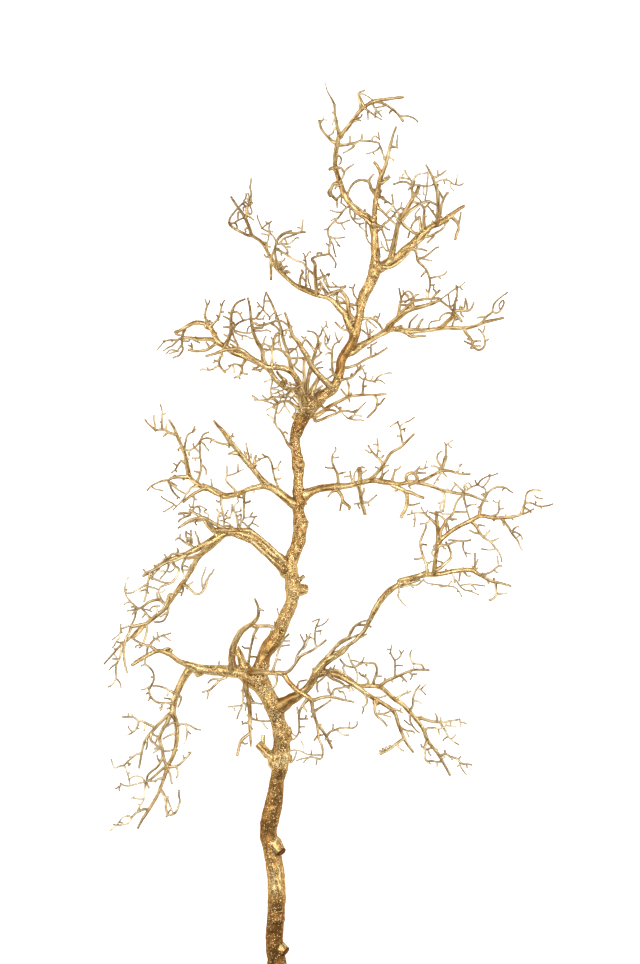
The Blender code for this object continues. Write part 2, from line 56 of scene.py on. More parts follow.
# %% The limbs, in millimetres
LIMBS = (
    ("trunk_foot", "", "9.5 9.6 9 8 8.6 8.6 8.3 7.3 8.7 7.6 7 8.7 7.5 6.9 7.9 7.8",
     "9.5 9.7 10 12 14 17 20 22 24 27 30 33 36 39 41 42",
     "276.5,999 276.5,982 276.5,962 274,940 276,915 277,885 272,853 268,833 270,818 275,797 277.5,778"
     " 281,757 281.5,738 277.5,718 273,706 269.5,699"),
    ("trunk_bend", "after trunk_foot", "7.8 8.2 9.2 7 6.6 7 7 6.6 6.2 6.4 6.6 6.8 7.4 6.2",
     "42 43 44 46 48 50 51 53 54 55 56 57 58 60",
     "269.5,699 264,690 258,680 261,668 264,655 270,645 277,635 284,620 289,609 292,600 293,590"
     " 292.5,578 290,568 293,556"),
    ("trunk_middle", "after trunk_bend", "6.2 6.2 6 6 5.6 5.9 4.8", "60 61 62 63 64 65 66",
     "293,556 296.5,548 299.5,535 300.5,522 297.8,510 299,500 298,488"),
    ("trunk_upper", "after trunk_middle", "4.8 4.7 5.2 5 5.1 5.8 6.4 6.8 6.8 6.2 5.4",
     "66 67 68 69 70 71 72 73 75 76 77",
     "298,488 298,475 298,464 296,453 295,440 297,431 301,422 306,412 312,405 319,399 325,394"),
    ("crown_stem", "after trunk_upper", "5.4 4.8 4.4 4.3 4.2 4.4 4.5 4.3 4",
     "77 78 80 81 82 82 83 84 84",
     "325,394 332,389 337,381 340,371 341.5,361 346,352 352,343 354.5,335 357,326"),
    ("crown_fork", "after crown_stem", "4 3.9 4.3 4.7 5 5.3 5.1 4.2", "84 85 86 87 88 89 90 90",
     "357,326 359.5,316 361,306 363,297 368,288 372,279 374.5,270 375,261"),
    ("leader_base", "after crown_fork", "4.2 3.6 3.5 3.4 3", "90 91 92 92 92",
     "375,261 374.7,250 374.5,238 373.5,228 371.5,222"),
    ("low_left_limb", "on trunk_bend", "6.4 6 5.6 5.5 5 4.2 4", "45 43 40 37 34 31 30",
     "257,680 250,677 240,672 225,671 208,670 196,668 190,669"),
    ("low_left_hook", "after low_left_limb", "4 3.6 3.3 3 2.9 2.3 2.2 2.2 2.1 2 1.8 1.7 1.6 1.4 1.2",
     "30 28 26 24 23 20 17 14 11 9 7 5 3.5 2.2 1.1",
     "190,669 184,678 178,690 174,702 173,713 176,721 177,733 176,745 173,756 168,766 163,781"
     " 157,796 148,811 142,820 138,828"),
    ("low_left_rise", "on low_left_limb", "3.4 3 2.7 2.5 2.1 2 1.9 1.7",
     "31 37 42 46 49 52 54 56",
     "197,668 186,664 177,660 168,653 158,651 150,654 141,659 132,665"),
    ("low_left_outer", "on low_left_hook", "1.9 1.7 1.4 1.1", "23 19 15 10 7",
     "173,713 166,717 158,725 150,734 144,743 141,757 139,768"),
    ("low_left_curl", "on low_left_limb", "3.6 3.4 3.2 2.9 2.6 2.3 1.8 1.4 1.2",
     "38 48 58 68 75 80 86 91 95",
     "234,671 232,661 233,648 240,633 247,627 253,623 258,616 258,607 255,599"),
    ("front_hanger", "on low_left_limb", "2.5 2.3 2.1 1.9 1.6 1.3", "41 54 62 69 75 80",
     "244,674 246,688 249,702 250,716 250,731 251,746"),
    ("front_limb", "on low_left_limb",
     "2.8 2.5 2.4 2.3 2.4 2.3 2.2 2.1 2 1.8 1.6 1.5 1.3", "42 56 64 70 73 75 77 78 78 76 73 70 66",
     "249,676 252,672 261,672 272,673 283,674 289,682 297,690 305,695 311,700 313,710 317,723"
     " 325,734 332,748"),
    ("front_limb_rise", "on front_limb", "1.9 1.7 1.5 1.4 1.3 1.2 1.1", "73 80 85 89 93 96 98",
     "282,674 289,671 295,664 301,656 311,651 320,645 326,640"),
    ("right_limb", "on trunk_foot",
     "6 5.4 5 4.4 3.8 3.6 3.9 4.3 4 2.8 2.2 2 2 2 2.2 2.8 2.9 2.8 2.5",
     "40 44 48 52 56 59 62 65 67 70 73 76 79 83 87 91 95 99 102",
     "276,709 285,703 293,698 300,694 306,689 311,683 315,676 320,668 326,661 335,656 343,652"
     " 349,645 356,640 364,631 369,622 373,614 379,603 388,592 398,585"),
    ("right_limb_reach", "after right_limb", "2.5 2.4 2.3 2.3 2.3 2.1 1.8 1.6 1.4 1.2",
     "102 105 108 110 111 112 112 111 110 108",
     "398,585 412,579 425,575 440,574 455,571 470,570 480,575 491,581 500,583 511,586"),
    ("right_limb_spire", "on right_limb_reach", "2.2 2.2 2.1 2 1.8 1.5", "109 116 121 126 130 133",
     "434,574 435,562 437,549 438,535 437,522 436,512"),
    ("right_limb_claw", "on right_limb_spire", "2 2.1 2.1 2 1.9 1.8 1.7 1.4 1.2 1 1 .9 .9",
     "123 124 125 126 126 125 124 122 120 118 116 114 112",
     "438,543 444,537 456,528 470,521 481,516 495,518 510,517 521,514 525,504 531,503 538,506"
     " 546,506 553,504"),
    ("low_right_limb", "on right_limb", "3.2 3 2.8 2.6 2.4 2.2 2.1 2 1.8 1.6 1.3",
     "64 62 59 56 52 48 44 40 36 31 27",
     "318,672 330,673 341,677 350,682 360,689 370,696 382,703 394,712 399,726 405,740 413,752"),
    ("low_right_foot", "on low_right_limb", "2.3 2.3 2.3 2.3 2.2 2.1 2 1.8 1.6 1.4 1.2",
     "54 45 38 32 27 21 16 11 7 3.5 1.2",
     "356,686 366,686 380,687 392,697 404,706 415,718 423,729 428,741 436,751 443,762 450,775"),
    ("low_right_fork", "on low_right_foot", "1.9 1.8 1.5 1.3 1.1", "39 46 52 58 62",
     "379,687 387,681 400,675 414,670 429,670"),
    ("mid_right_limb", "on trunk_middle",
     "4.6 4 3.6 3.4 3 2.7 2.6 2.5 2.2 2 1.8 1.7 1.6 1.4 1.1",
     "65 63 60 57 53 49 46 43 39 35 29 22 15 8 1",
     "298,499 308,493 318,489 330,487 345,486 360,483 372,480 384,482 398,484 412,482 428,485"
     " 442,490 456,493 470,495 485,501"),
    ("mid_right_fork", "on mid_right_limb", "1.9 1.8 1.7 1.6 1.4 1.2 1.1", "33 40 50 58 62 66 70",
     "417,483 424,480 433,475 441,471 450,471 460,474 470,474"),
    ("mid_right_spur", "on mid_right_limb", "2.1 1.9 1.7 1.5 1.4 1.2 1.1", "47 57 66 73 79 84 88",
     "370,481 378,472 385,462 391,453 401,447 409,439 414,434"),
    ("mid_left_limb", "on trunk_bend", "5.6 5.6 5.4 5.2 5 4.8 4.6 4.2 3.6 3.6",
     "58 61 65 69 73 77 80 82 84 84",
     "291,569 284,565 276,558 268,551 260,544 252,538 244,535 236,533 227,533 217,538"),
    ("mid_left_upper", "after mid_left_limb", "3.6 3.2 3 2.8 2.4 2 1.8 1.6 1.3",
     "84 87 90 92 94 96 97 98 98",
     "217,538 208,543 198,548 190,552 182,556 172,559 162,564 152,571 143,576"),
    ("mid_left_drape", "on mid_left_limb",
     "2.6 2.6 2.5 2.5 2.5 2.5 2.4 2.3 2.2 2 1.7 1.5 1.3 1.1 .9",
     "82 78 74 71 68 64 60 55 50 44 38 32 26 20 14",
     "222,536 213,545 204,552 197,559 192,569 184,581 175,594 166,607 156,616 146,624 137,631"
     " 130,638 120,646 112,655 104,664"),
    ("mid_left_fan", "on mid_left_limb", "2.2 2.1 1.9 1.7 1.5 1.4 1.3", "84 92 98 104 108 112 114",
     "229,533 221,527 213,523 205,518 199,518 190,520 180,527"),
    ("high_left_limb", "on trunk_middle", "4 3.9 3.8 3.7 3.5 2.7 2.6 2.7 3 2.8 2.7 2.6 2.5",
     "65 66 67 67 67 66 64 61 57 53 49 45 41",
     "298,506 291,502 283,496 275,490 267,486 257,487 247,490 237,494 226,496 217,493 208,488"
     " 199,485 190,477"),
    ("high_left_prong", "after high_left_limb", "2.5 2.2 2 1.9 1.7 1.4 1.2", "41 34 28 22 15 8 1.1",
     "190,477 187,465 185,455 182,447 178,438 174,428 169,420"),
    ("high_left_spear", "on high_left_limb", "2.9 2.8 2.6 2.5 2.4 2.3 2.3 2.1 1.7 1.2",
     "67 72 78 84 88 92 96 100 103 106",
     "268,486 262,480 254,470 246,461 240,454 235,447 229,440 222,430 218,426 214,421"),
    ("creeper", "on trunk_upper", "1.9 1.5 1.2 1.2 1.1 1 1 1 1 .9 .9 .8",
     "70 76 80 84 87 90 92 94 97 100 103 105",
     "294,451 288,444 285,438 281,431 276,425 275,418 276,411 278,403 274,399 266,400 258,400"
     " 252,396"),
    ("crown_left_limb", "on trunk_upper",
     "3 2.7 2.5 2.4 2.4 2.5 2.6 2.7 2.8 2.8 2.8 2.8 2.8 2.8 2.7 2.6 2.4 2.2 2.1 2 1.9 1.6 1.3",
     "76 79 81 83 85 87 89 91 92 94 95 96 96 95 94 93 92 91 89 86 83 80 78",
     "308,400 302,395 296,392 290,390 284,387 278,382 273,376 270,371 265,366 257,362 249,358"
     " 241,355 233,352 226,347 219,343 216,338 213,332 210,327 203,323 194,323 186,327 179,331"
     " 175,332"),
    ("crown_left_over", "on trunk_upper",
     "2.8 2.8 2.8 2.8 2.8 2.7 2.6 2.5 2 1.9 1.8 1.8 1.7 1.6 1.4 1.2",
     "77 85 91 96 100 103 105 106 107 108 109 110 111 112 113 114",
     "307,401 303,392 299,383 295,376 290,371 283,368 275,367 267,367 259,362 251,357 245,352"
     " 239,349 231,349 222,351 214,354 206,356"),
    ("crown_left_far", "on crown_left_limb", "2 2 1.9 1.7 1.5 1.1 .9 .8 .7",
     "94 86 80 74 69 66 63 61 58",
     "219,342 210,339 200,339 190,338 182,338 177,340 170,340 164,342 157,350"),
    ("crown_left_spire", "on crown_left_limb", "2 1.8 1.6 1.5 1.4 1.2 1",
     "95 102 108 113 117 121 124",
     "225,346 229,338 231,330 231,320 232,311 237,303 245,299"),
    ("crown_left_spike", "on crown_left_limb", "2.2 2.1 2 1.9 1.7 1.5 1.3 1.1",
     "92 95 98 103 108 114 118 122",
     "266,367 263,358 262,350 257,341 253,331 251,318 250,308 248,298"),
    ("inner_spike", "on crown_stem", "3 2.8 2.7 2.6 2.5 2.4 2.3 2.1 1.9 1.6 1.4 1.2",
     "80 86 91 95 99 103 107 110 113 116 119 122",
     "333,388 326,382 319,375 313,368 309,361 306,355 302,349 298,342 293,336 290,328 288,321"
     " 285,313"),
    ("inner_spire", "on trunk_upper", "2.4 2.3 2.2 2.1 2 1.9 1.8 1.6 1.5 1.4 1.3 1.2 1",
     "74 68 63 58 54 50 47 44 40 37 34 31 28",
     "303,407 299,397 298,386 295,377 291,367 289,358 287,350 284,342 281,329 278,320 274,309"
     " 270,300 266,292"),
    ("inner_arch", "on trunk_upper", "2.4 2.2 2 1.9 1.8 1.6 1.4 1.2 1 .9",
     "70 67 64 61 59 56 53 51 49 47",
     "310,404 307,392 308,380 310,370 313,360 316,350 318,342 317,336 313,332 307,331"),
    ("inner_fork", "on crown_stem", "1.7 1.5 1.3 1.2 .9 .8", "81 88 96 103 108 111",
     "338,378 333,373 332,363 332,353 334,345 340,341"),
    ("crown_right_low", "on trunk_upper", "2.4 2.3 2.1 1.9 1.7 1.6 1.4 1.4 1.3 1.3",
     "72 68 64 60 57 55 53 50 46 42",
     "307,413 314,416 322,412 330,406 338,402 346,398 352,396 362,395 374,395 386,394"),
    ("peak_left_limb", "on crown_stem",
     "3.8 3.4 3.2 3 2.8 2.6 2.2 2.1 2.2 2.1 2 2.1 2.3 2.7",
     "84 86 87 88 88 88 87 85 82 79 75 71 67 63",
     "355,335 350,327 347,320 344,313 339,308 334,302 328,298 320,296 311,293 302,289 294,284"
     " 287,278 281,272 276,266"),
    ("peak_left_tip", "after peak_left_limb", "2.7 1.8 1.7 1.8 1.8 1.8 1.8 1.6 1.3 1.2",
     "63 57 50 43 37 30 23 15 7 1.1",
     "276,266 272,260 268,253 264,245 259,240 252,235 249,227 244,216 237,206 231,197"),
    ("peak_left_spray", "on peak_left_limb", "1.6 1.4 1.3 1.3 1.3 1.2 1.2 1.2",
     "66 73 79 85 89 92 95 98",
     "280,271 276,259 275,249 277,241 281,236 287,233 294,233 305,232"),
    ("peak_left_post", "on peak_left_limb", "2.2 2 1.8 1.6 1.4 1.2 1.2",
     "84 92 100 106 110 113 115",
     "318,296 316,285 315,273 315,264 312,259 318,256 329,254"),
    ("leader_left", "after leader_base",
     "3 2.8 2.8 2.9 3 2.9 2.6 2.4 2.3 2.3 2.2 2.2 1.7 1.4 1.3 .9 .7 .6",
     "92 93 93 93 92 91 89 87 84 80 77 73 67 60 53 47 42 36",
     "371.5,222 366,217 359,212 352,206 347,199 343,191 340,183 337,174 335,165 336,153 337,145"
     " 339,135 337,125 335,114 334,104 330,96 327,90 325,82"),
    ("leader_left_arm", "on leader_left", "2.1 2 2 1.9 1.9 1.9 1.7 1.5",
     "74 80 85 90 94 97 100 102",
     "339,138 346,129 353,120 360,111 367,105 375,101 388,99 403,97"),
    ("leader_left_droop", "on leader_left_arm", "1.4 1.4 1.4 1.4 1.4", "96 91 87 83 80",
     "373,102 382,103 391,108 398,114 403,121"),
    ("leader_right", "on leader_base", "2.6 2.5 2.5 2.4 2.3 2.3 2 2 1.8 1.5 1.3 1.2",
     "92 97 100 103 106 109 112 115 118 121 125 128",
     "374,229 374.5,219 375,208 376.5,197 378.5,187 380,179 383,172 386,164 388,155 391,143"
     " 393,135 396,127"),
    ("peak_right_limb", "on crown_fork",
     "4 3.8 3.6 3.5 3.5 3.6 3.7 3.3 3 2.7 2.6 2.6 1.9 1.7",
     "89 89 88 88 87 86 85 84 83 82 81 80 78 76",
     "374,271 384,265 391,260 398,256 404,250 411,245 418,238 424,232 430,227 437,224 443,221"
     " 449,217 456,211 464,206"),
    ("peak_right_spire", "on peak_right_limb", "3 3 2.8 2.3 2.2 2.1 2.1 2 1.4 1.2",
     "88 94 100 106 111 115 118 121 124 127",
     "391,260 393,249 395,239 397,229 400,220 405,212 409,205 413,197 412,190 413,184"),
    ("peak_right_mast", "on peak_right_limb", "2.1 1.9 1.8 1.8 1.7 1.5 1.2 1",
     "83 90 97 103 108 112 115 118",
     "436,224 438,217 438,208 438,199 437,190 434,181 430,172 426,165"),
    ("peak_right_hanger", "on peak_right_limb", "1.6 1.4 1.4 1.3 1.2 1.1 1 1",
     "86 78 72 67 63 60 58 57",
     "409,246 416,252 418,261 425,268 429,276 430,285 428,295 426,300"),
    ("crown_right_limb", "on crown_stem",
     "3.3 3.3 3.2 2.9 2.7 2.9 2.7 2.4 2.3 2.3 2.2 2.1 1.9 1.7 1.6 1.4 1.3",
     "82 78 74 70 66 61 57 53 49 44 39 33 26 20 13 7 1.2",
     "347,355 354,350.5 361,345.5 368,341.5 375,337.5 383,333 391,329 400,330 408,332 418,331 430,330"
     " 441,328 453,328 465,328 475,326 485,322 494,320 503,318"),
    ("crown_right_rise", "on crown_right_limb", "3 2.8 2.6 2.5 2.2 1.9 1.6 1.4",
     "64 71 77 82 87 91 94 96",
     "386,330 392,323 398,318 404,313 412,309 424,306 433,303 440,300"),
    ("crown_right_crest", "on crown_right_limb", "2.1 2.1 2.1 1.8 1.3 1.1 1",
     "39 47 54 60 66 71 76",
     "441,328 447,322 452,317 454,311 455,303 457,295 457,286"),
    ("crown_right_claw", "on crown_right_limb", "1.4 1.3 1.2 1.1 .9 .8", "15 24 32 38 43 48",
     "482,323 486,317 492,312 494,304 500,298 508,292"),
)
print("limbs drawn:", len(LIMBS))

# %% [markdown]
# ## The twigs
# A dry manzanita branch is mostly twigs: hundreds of short, crooked side shoots that fork once or
# twice and end in blunt tips. They could be scattered by a rule, but this branch has its own pattern
# of them, so each one is drawn on the same sheet as the limbs, with only the points that its bends
# need. A semicolon ends a twig. Letters mark it: `r` is its radius at the root, which TWIG_FULLER
# scales later, and `e` its radius at the tip, in millimetres, `b` is a blunt saw-cut tip, `d` paints
# the cut nearly black, as painted shade of a hollow, `s` darkens all of it by this much, `j` says that
# the tip joins the wood it ends on, `l` that it lies on the wood under it all the way, and `z` gives
# the height of its root and of its tip.

# %% Stubs and shoots on the stem
STEM_TWIGS = """
279,948 283,950 285.8,952 r3.9 b d z11-16; 274,843 278.5,848.5 281.8,852.2 r4.5 b d z21-29;
293,590 300,589.5 306.5,589 r5.4 e4.2 b; 295,580 300,580 r3 e2 b;
275,764 272,757 266,752 258,744 r3.9 b; 267,755 265,752 263,743 263,735 r2 b;
284,757 288,758 290.5,758 r3.4 e2.6 b; 283,731 287,731 290.5,730 r4.4 e3.2 b;
285,738 288,738 291,737 r3.6 e2.6 b; 266,665 262,658 261,647 r2.7 e1.6 b; 279,615 277,608 r.7;
276,627 274,621 r.7; 286,572 282,566 r4 e3 b; 296,417 293,415 r2.6 b; 299,464 303,465 r4.4 e3 b;
301,580 304,576 r2.4 b; 302,524 306,526 r3.4 b; 299,540 303,541 r2.4 b;
361,319 368,318 374,319.5 379,324 383,330 r1.3; 377,320 379,316 380,313 r.8; 375,316 378,318;
368,320 372,324 377,328 r.8; 366,322 367,328 368,334 368,338 r1;
303,395 308,396 313,398 317,401 321,405 326,410 331,410 336,411 r1.2 b s.3 z92-112;
308,407.5 298,407.5 292,404 289,401.5 283,401.3 278.5,403.4 272,407 266,410.6 r1.7 e.8 b z90-104;
304,409 301,405 300.6,400.6 297.7,393.4 r1; 307,383 307.5,389 307,396 306,402 r1.3;
312,399 313,391 316,384 320,377 r1.9 e1.7 j; 309,398 311,390 315,383 319,376 r1.8 e1.5 j;
296,415 298,420 301,422 r1.6 b;
"""

# %% [markdown]
# The low left limb hangs down and ends in two long strands, one bowed away from the other. Fine
# twigs fan out on both sides of them.

# %% Low left
LOW_LEFT_TWIGS = """
171,715 167,723 163,729 160,736 160,742 162,748 163,755 165,762 167,767 r2 b j;
151,733 151,740 155,744 160,748 165,751 170,751 r1.3 j; 172,750 178,750 r.9;
154,727 150,725 146,723 142,721 139,721 135,718 132,717 128,717 122,717 r1.2; 128,716 128,713;
133,717 132,714; 139,721 138,725 136,729 133,732 130,734 125,736 r.9; 133,732 130,730 128,726;
137,728 139,729; 146,723 145,727 144,731; 151,733 156,736 160,736; 172,723 168,726 163,728;
173,734 168,736 163,739; 157,738 156,742 154,744; 160,749 156,751 153,753; 158,747 154,749;
177,725 181,724 186,724 191,726 196,729 201,730 r1; 186,725 187,729 187,735 186,740 184,744;
187,730 191,734;
175,705 168,703 160,703 155,701 151,697 149,691 151,686 154,679 153,672 149,667 145,664 r1.2;
142,661 140,660; 145,664 141,666; 162,704 162,708 160,711; 162,707 159,708;
150,686 145,689 141,690; 151,688 147,688; 149,693 146,694; 150,698 148,701; 154,677 151,677;
176,694 171,691 165,688 158,686 153,686; 169,690 168,693 167,696; 174,702 170,699 164,698;
173,708 167,709; 181,697 180,703 178,707; 168,766 172,767 176,766 180,764 184,760 188,756 191,752;
184,758 183,755; 190,754 188,752; 176,766 178,771 178,775 176,778;
168,768 170,774 171,780 172,784 b;
163,756 160,763 157,767 152,771 148,775 147,779 147,783 149,788 r1.2;
166,766 161,770 156,775 151,779 146,782 139,783 133,785 128,786 123,785 120,783 r1.6 e.8;
121,785 119,789 120,791; 121,785 117,788 115,789; 121,785 121,783;
144,780 141,777 136,776 132,777 129,780; 163,778 158,779 154,781 150,781; 158,779 155,782;
141,753 137,754 133,757 128,761 124,765 120,766 115,768 113,765 111,759 r1.1; 133,757 129,757;
127,761 129,766; 128,763 131,764; 124,765 126,770 128,775 129,780 130,784; 127,772 130,773;
160,762 158,759 157,755; 161,760 162,757; 147,740 147,746 146,750;
146,783 145,788 144,794 144,799 142,803 139,807 137,812 r1.2; 144,799 138,799 133,798 131,798;
133,798 134,796; 140,805 138,804; 139,806 140,811;
148,809 144,809 140,811 136,813 133,816 131,818 r1.3; 132,817 127,816 122,818 119,822 117,825 r.9;
131,818 131,821 127,824 122,825 117,825 r.9; 117,825 113,828 110,831; 117,825 113,824;
119,822 123,823;
161,790 163,793 165,797 166,803 166,809 168,814 171,815 175,813 178,808 180,801 179,796 179,790 r1.3;
166,797 169,797; 167,798 169,803 171,808 172,811 174,813; 171,809 169,812; 168,814 166,817;
226,677 220,680 215,685 211,689 207,691 202,692 r1.1 b; 209,690 208,695 207,699;
221,680 215,679 211,680 208,683; 167,654 169,652 171,649 r3 b; 163,651 165,649 169,648 r1.2;
157,651 153,648 150,646 145,645 140,643 135,640 132,638 r1.3;
150,646 152,642 155,639 159,637 164,635 168,634 171,633 r1; 155,639 153,636; 158,637 157,632;
155,639 159,640 159,642; 163,635 168,639 171,641; 148,646 147,651 146,655 145,660 145,665 r.9 j;
140,659 136,662 132,665; 258,609 264,611; 254,626 262,626 270,626 274,628 r1.6 b; 274,628 270,631;
257,628 254,634 252,642 250,652 249,660 248,667 r1.8 j; 254,637 257,639; 250,648 245,648 242,646;
250,657 256,657; 249,660 248,661; 247,670 243,664 240,655 236,648 r3.2 b;
202,668 199,673 196,675 r2.4 b; 219,664 219,661;
"""

# %% [markdown]
# The front limb reaches out over the stem towards the eye. One part of it hangs straight down, and
# the other crosses the stem and splits into a drooping spray.

# %% Front
FRONT_TWIGS = """
250,702 255,703 262,704; 249,693 252,699 255,703; 250,718 256,720 262,721 270,721 r1;
257,719 256,713; 262,721 265,726 268,729; 250,716 247,715; 250,722 246,723 242,724;
243,723 242,721; 251,727 253,729; 250,733 245,737 241,741 239,747 238,752 237,756 r1.6 b;
242,742 245,744 248,743; 244,686 243,692 243,700 242,706 239,713 237,719 r1;
243,705 236,706 228,707 r1.2 b; 233,707 235,711; 243,690 241,691; 243,697 245,696;
244,703 246,706 245,711; 247,702 247,706;
295,663 297,656 300,651 303,647 305,642 308,637 311,633 r1; 305,643 302,638 300,634;
307,639 306,634; 304,649 308,641 310,637; 310,637 315,639;
316,648 315,640 315,633 316,627 318,623 320,619 r1; 320,619 316,620 312,622;
316,627 322,625 326,622 329,618; 315,632 320,631 320,635; 320,631 322,630;
310,700 314,700 320,698 326,697 331,697 337,698 344,700 350,701 354,702 r1.8 e1.1;
317,724 318,731 319,739 322,746 323,754 r1.4 e1.2;
323,754 321,759 316,758 310,757 306,760 303,763 r1.2;
321,755 312,755 306,754 300,751 294,750 289,751 r1.1; 311,754 311,750; 316,759 316,765;
304,752 303,745 301,741; 310,757 306,758 301,759 296,761; 297,751 295,757 292,762 290,763;
312,712 311,711; 313,716 311,717; 314,712 318,709 324,705 331,700 r1.1 j; 319,735 316,738 314,741;
320,735 323,735; 319,726 321,724; 327,738 325,740; 330,741 332,741;
327,736 330,732 335,730 340,728 346,728 353,728 357,725 357,721 r1.4 e.8; 333,731 333,724;
349,728 350,722; 338,731 340,733 344,735 349,735;
332,697 333,692 335,689 341,688 348,686 352,685 r1; 331,695 329,689 328,682; 330,693 327,689;
338,689 340,692; 343,692 345,696 346,700;
307,700 303,705 300,710 299,716 299,724 299,731 297,736 293,740 r1.4 e.8; 303,706 307,712;
298,713 297,707; 299,719 305,719 308,719; 305,719 306,715; 299,727 305,727; 299,731 301,733;
297,737 294,735 292,733; 297,688 299,682 301,681 307,680;
276,674 277,680 275,686 271,688 267,690 r1; 273,670 276,661 278,652 281,645 284,639 289,634 r1.1;
277,660 281,660; 281,641 290,641; 282,646 290,645;
"""

# %% [markdown]
# The right limb climbs away from the foot of the stem in loose, twisted strands, and then runs out
# level. Its end carries the widest spray on the branch.

# %% Right
RIGHT_TWIGS = """
327,658 333,650 340,642 347,638 349,636 351,631 354,627 358,625 364,625 369,626 371,627 r1.5 j;
350,636 352,631 356,625 361,622 368,620 r1.2 j; 335,648 341,643 347,640 353,637 360,634 r1.6 j;
335,654 340,651 344,647 r2 j; 361,637 367,634 r1; 319,674 315,671 315,668 r2.4 b;
318,682 323,678 327,673 331,667 r1.3 b; 332,671 335,665; 317,683 317,688 318,692;
399,581 405,579 413,577 420,575 427,572 r2 b l;
400,587 406,586 411,585 417,585 421,582 424,579 r1 l; 405,583 413,582 420,580 r1.4 l;
411,585 414,588; 399,586 399,592 398,596 402,602 406,606 r1;
436,524 433,521 430,518 426,515 424,513 r1.5 e1; 426,513 428,510; 425,514 422,509 421,507;
430,520 427,523 420,524; 426,524 426,528 425,531; 423,513 415,513 407,515 r1;
415,513 415,520 414,527; 412,513 412,510; 415,519 413,520; 436,514 432,513 429,512;
437,513 440,512 444,511; 521,514 523,508 525,502 526,496 528,492 533,490 538,490 541,491 r1.2;
521,515 526,513 530,511 534,509; 524,507 530,511 531,513; 535,505 536,501; 541,506 541,509;
533,492 535,496 538,498 543,499;
479,517 480,511 481,506 484,500 487,494 491,490 497,487 502,487 506,488 510,491 513,493 r1.9 e.8;
505,488 502,491; 485,500 488,502; 486,495 483,496; 481,508 478,507;
493,516 497,514 499,510 499,503 500,500 r1; 499,503 495,502 493,500; 499,509 504,508;
502,519 506,524 509,528 511,532 514,536 518,541 520,546 522,550 r1.2; 503,521 504,526;
511,531 515,532 519,534 522,537 522,540; 512,531 516,527 519,527; 519,536 516,538; 512,518 513,520;
506,516 506,514; 494,518 494,521;
471,521 476,526 480,533 484,538 490,541 494,546 498,551 501,557 502,562 r1.4 e.8;
477,527 479,525 485,526; 480,534 475,533 471,531 469,530; 485,536 488,533 490,530; 488,532 486,532;
491,541 495,540 499,538; 495,549 489,550 483,549 481,549; 502,556 501,558;
440,538 441,530 444,525 446,521 449,518 452,515 454,511 455,506 458,500 462,496 r1.8 e1;
446,521 442,517 438,515; 446,521 448,526 449,531; 446,523 446,528 447,532; 442,514 452,514;
454,512 460,512 467,512; 451,519 457,519; 451,518 453,521;
438,547 441,545 447,545 452,543 458,541 465,541 471,540 r1.2;
438,569 446,563 451,557 450,550 446,542 r1.5; 463,541 463,548 465,553 467,557; 465,552 471,554;
441,543 444,548 446,549; 458,540 452,540 448,540; 436,548 433,550 432,554 435,557; 435,545 433,547;
441,562 438,561;
428,575 427,570 426,564 423,556 421,549 420,543 422,537 424,532 426,527 426,524 r1.3;
426,564 429,563 432,561; 423,558 418,559 414,559; 421,545 427,545; 446,573 446,569;
453,574 454,579 455,583; 456,580 460,586 465,590 470,591 475,593 479,595 r1.4 e.8; 469,592 472,590;
460,574 459,581; 465,573 468,576 471,576; 462,570 463,568; 474,571 475,566 475,560 475,553;
475,566 477,562 478,559; 474,568 472,566; 476,569 478,568;
484,578 486,574 491,572 496,568 499,566 502,566 r1; 498,566 498,561 497,556; 486,574 482,573;
494,570 498,573; 494,580 494,578; 496,583 496,589 496,595 493,599 489,600 r1.7 b;
496,594 501,594 507,593; 488,580 489,584;
424,580 427,583 432,584 440,585 448,586 454,587 458,590 461,595 462,597 r1.2;
448,586 450,583 452,581; 432,584 432,586; 440,587 447,586; 458,590 457,592;
462,585 470,584 478,585 485,586 r1; 470,585 476,590;
"""

# %% [markdown]
# A long limb forks off the right one near its root and slopes down until two of its arms rest on
# the table. It is dense with hooked side shoots.

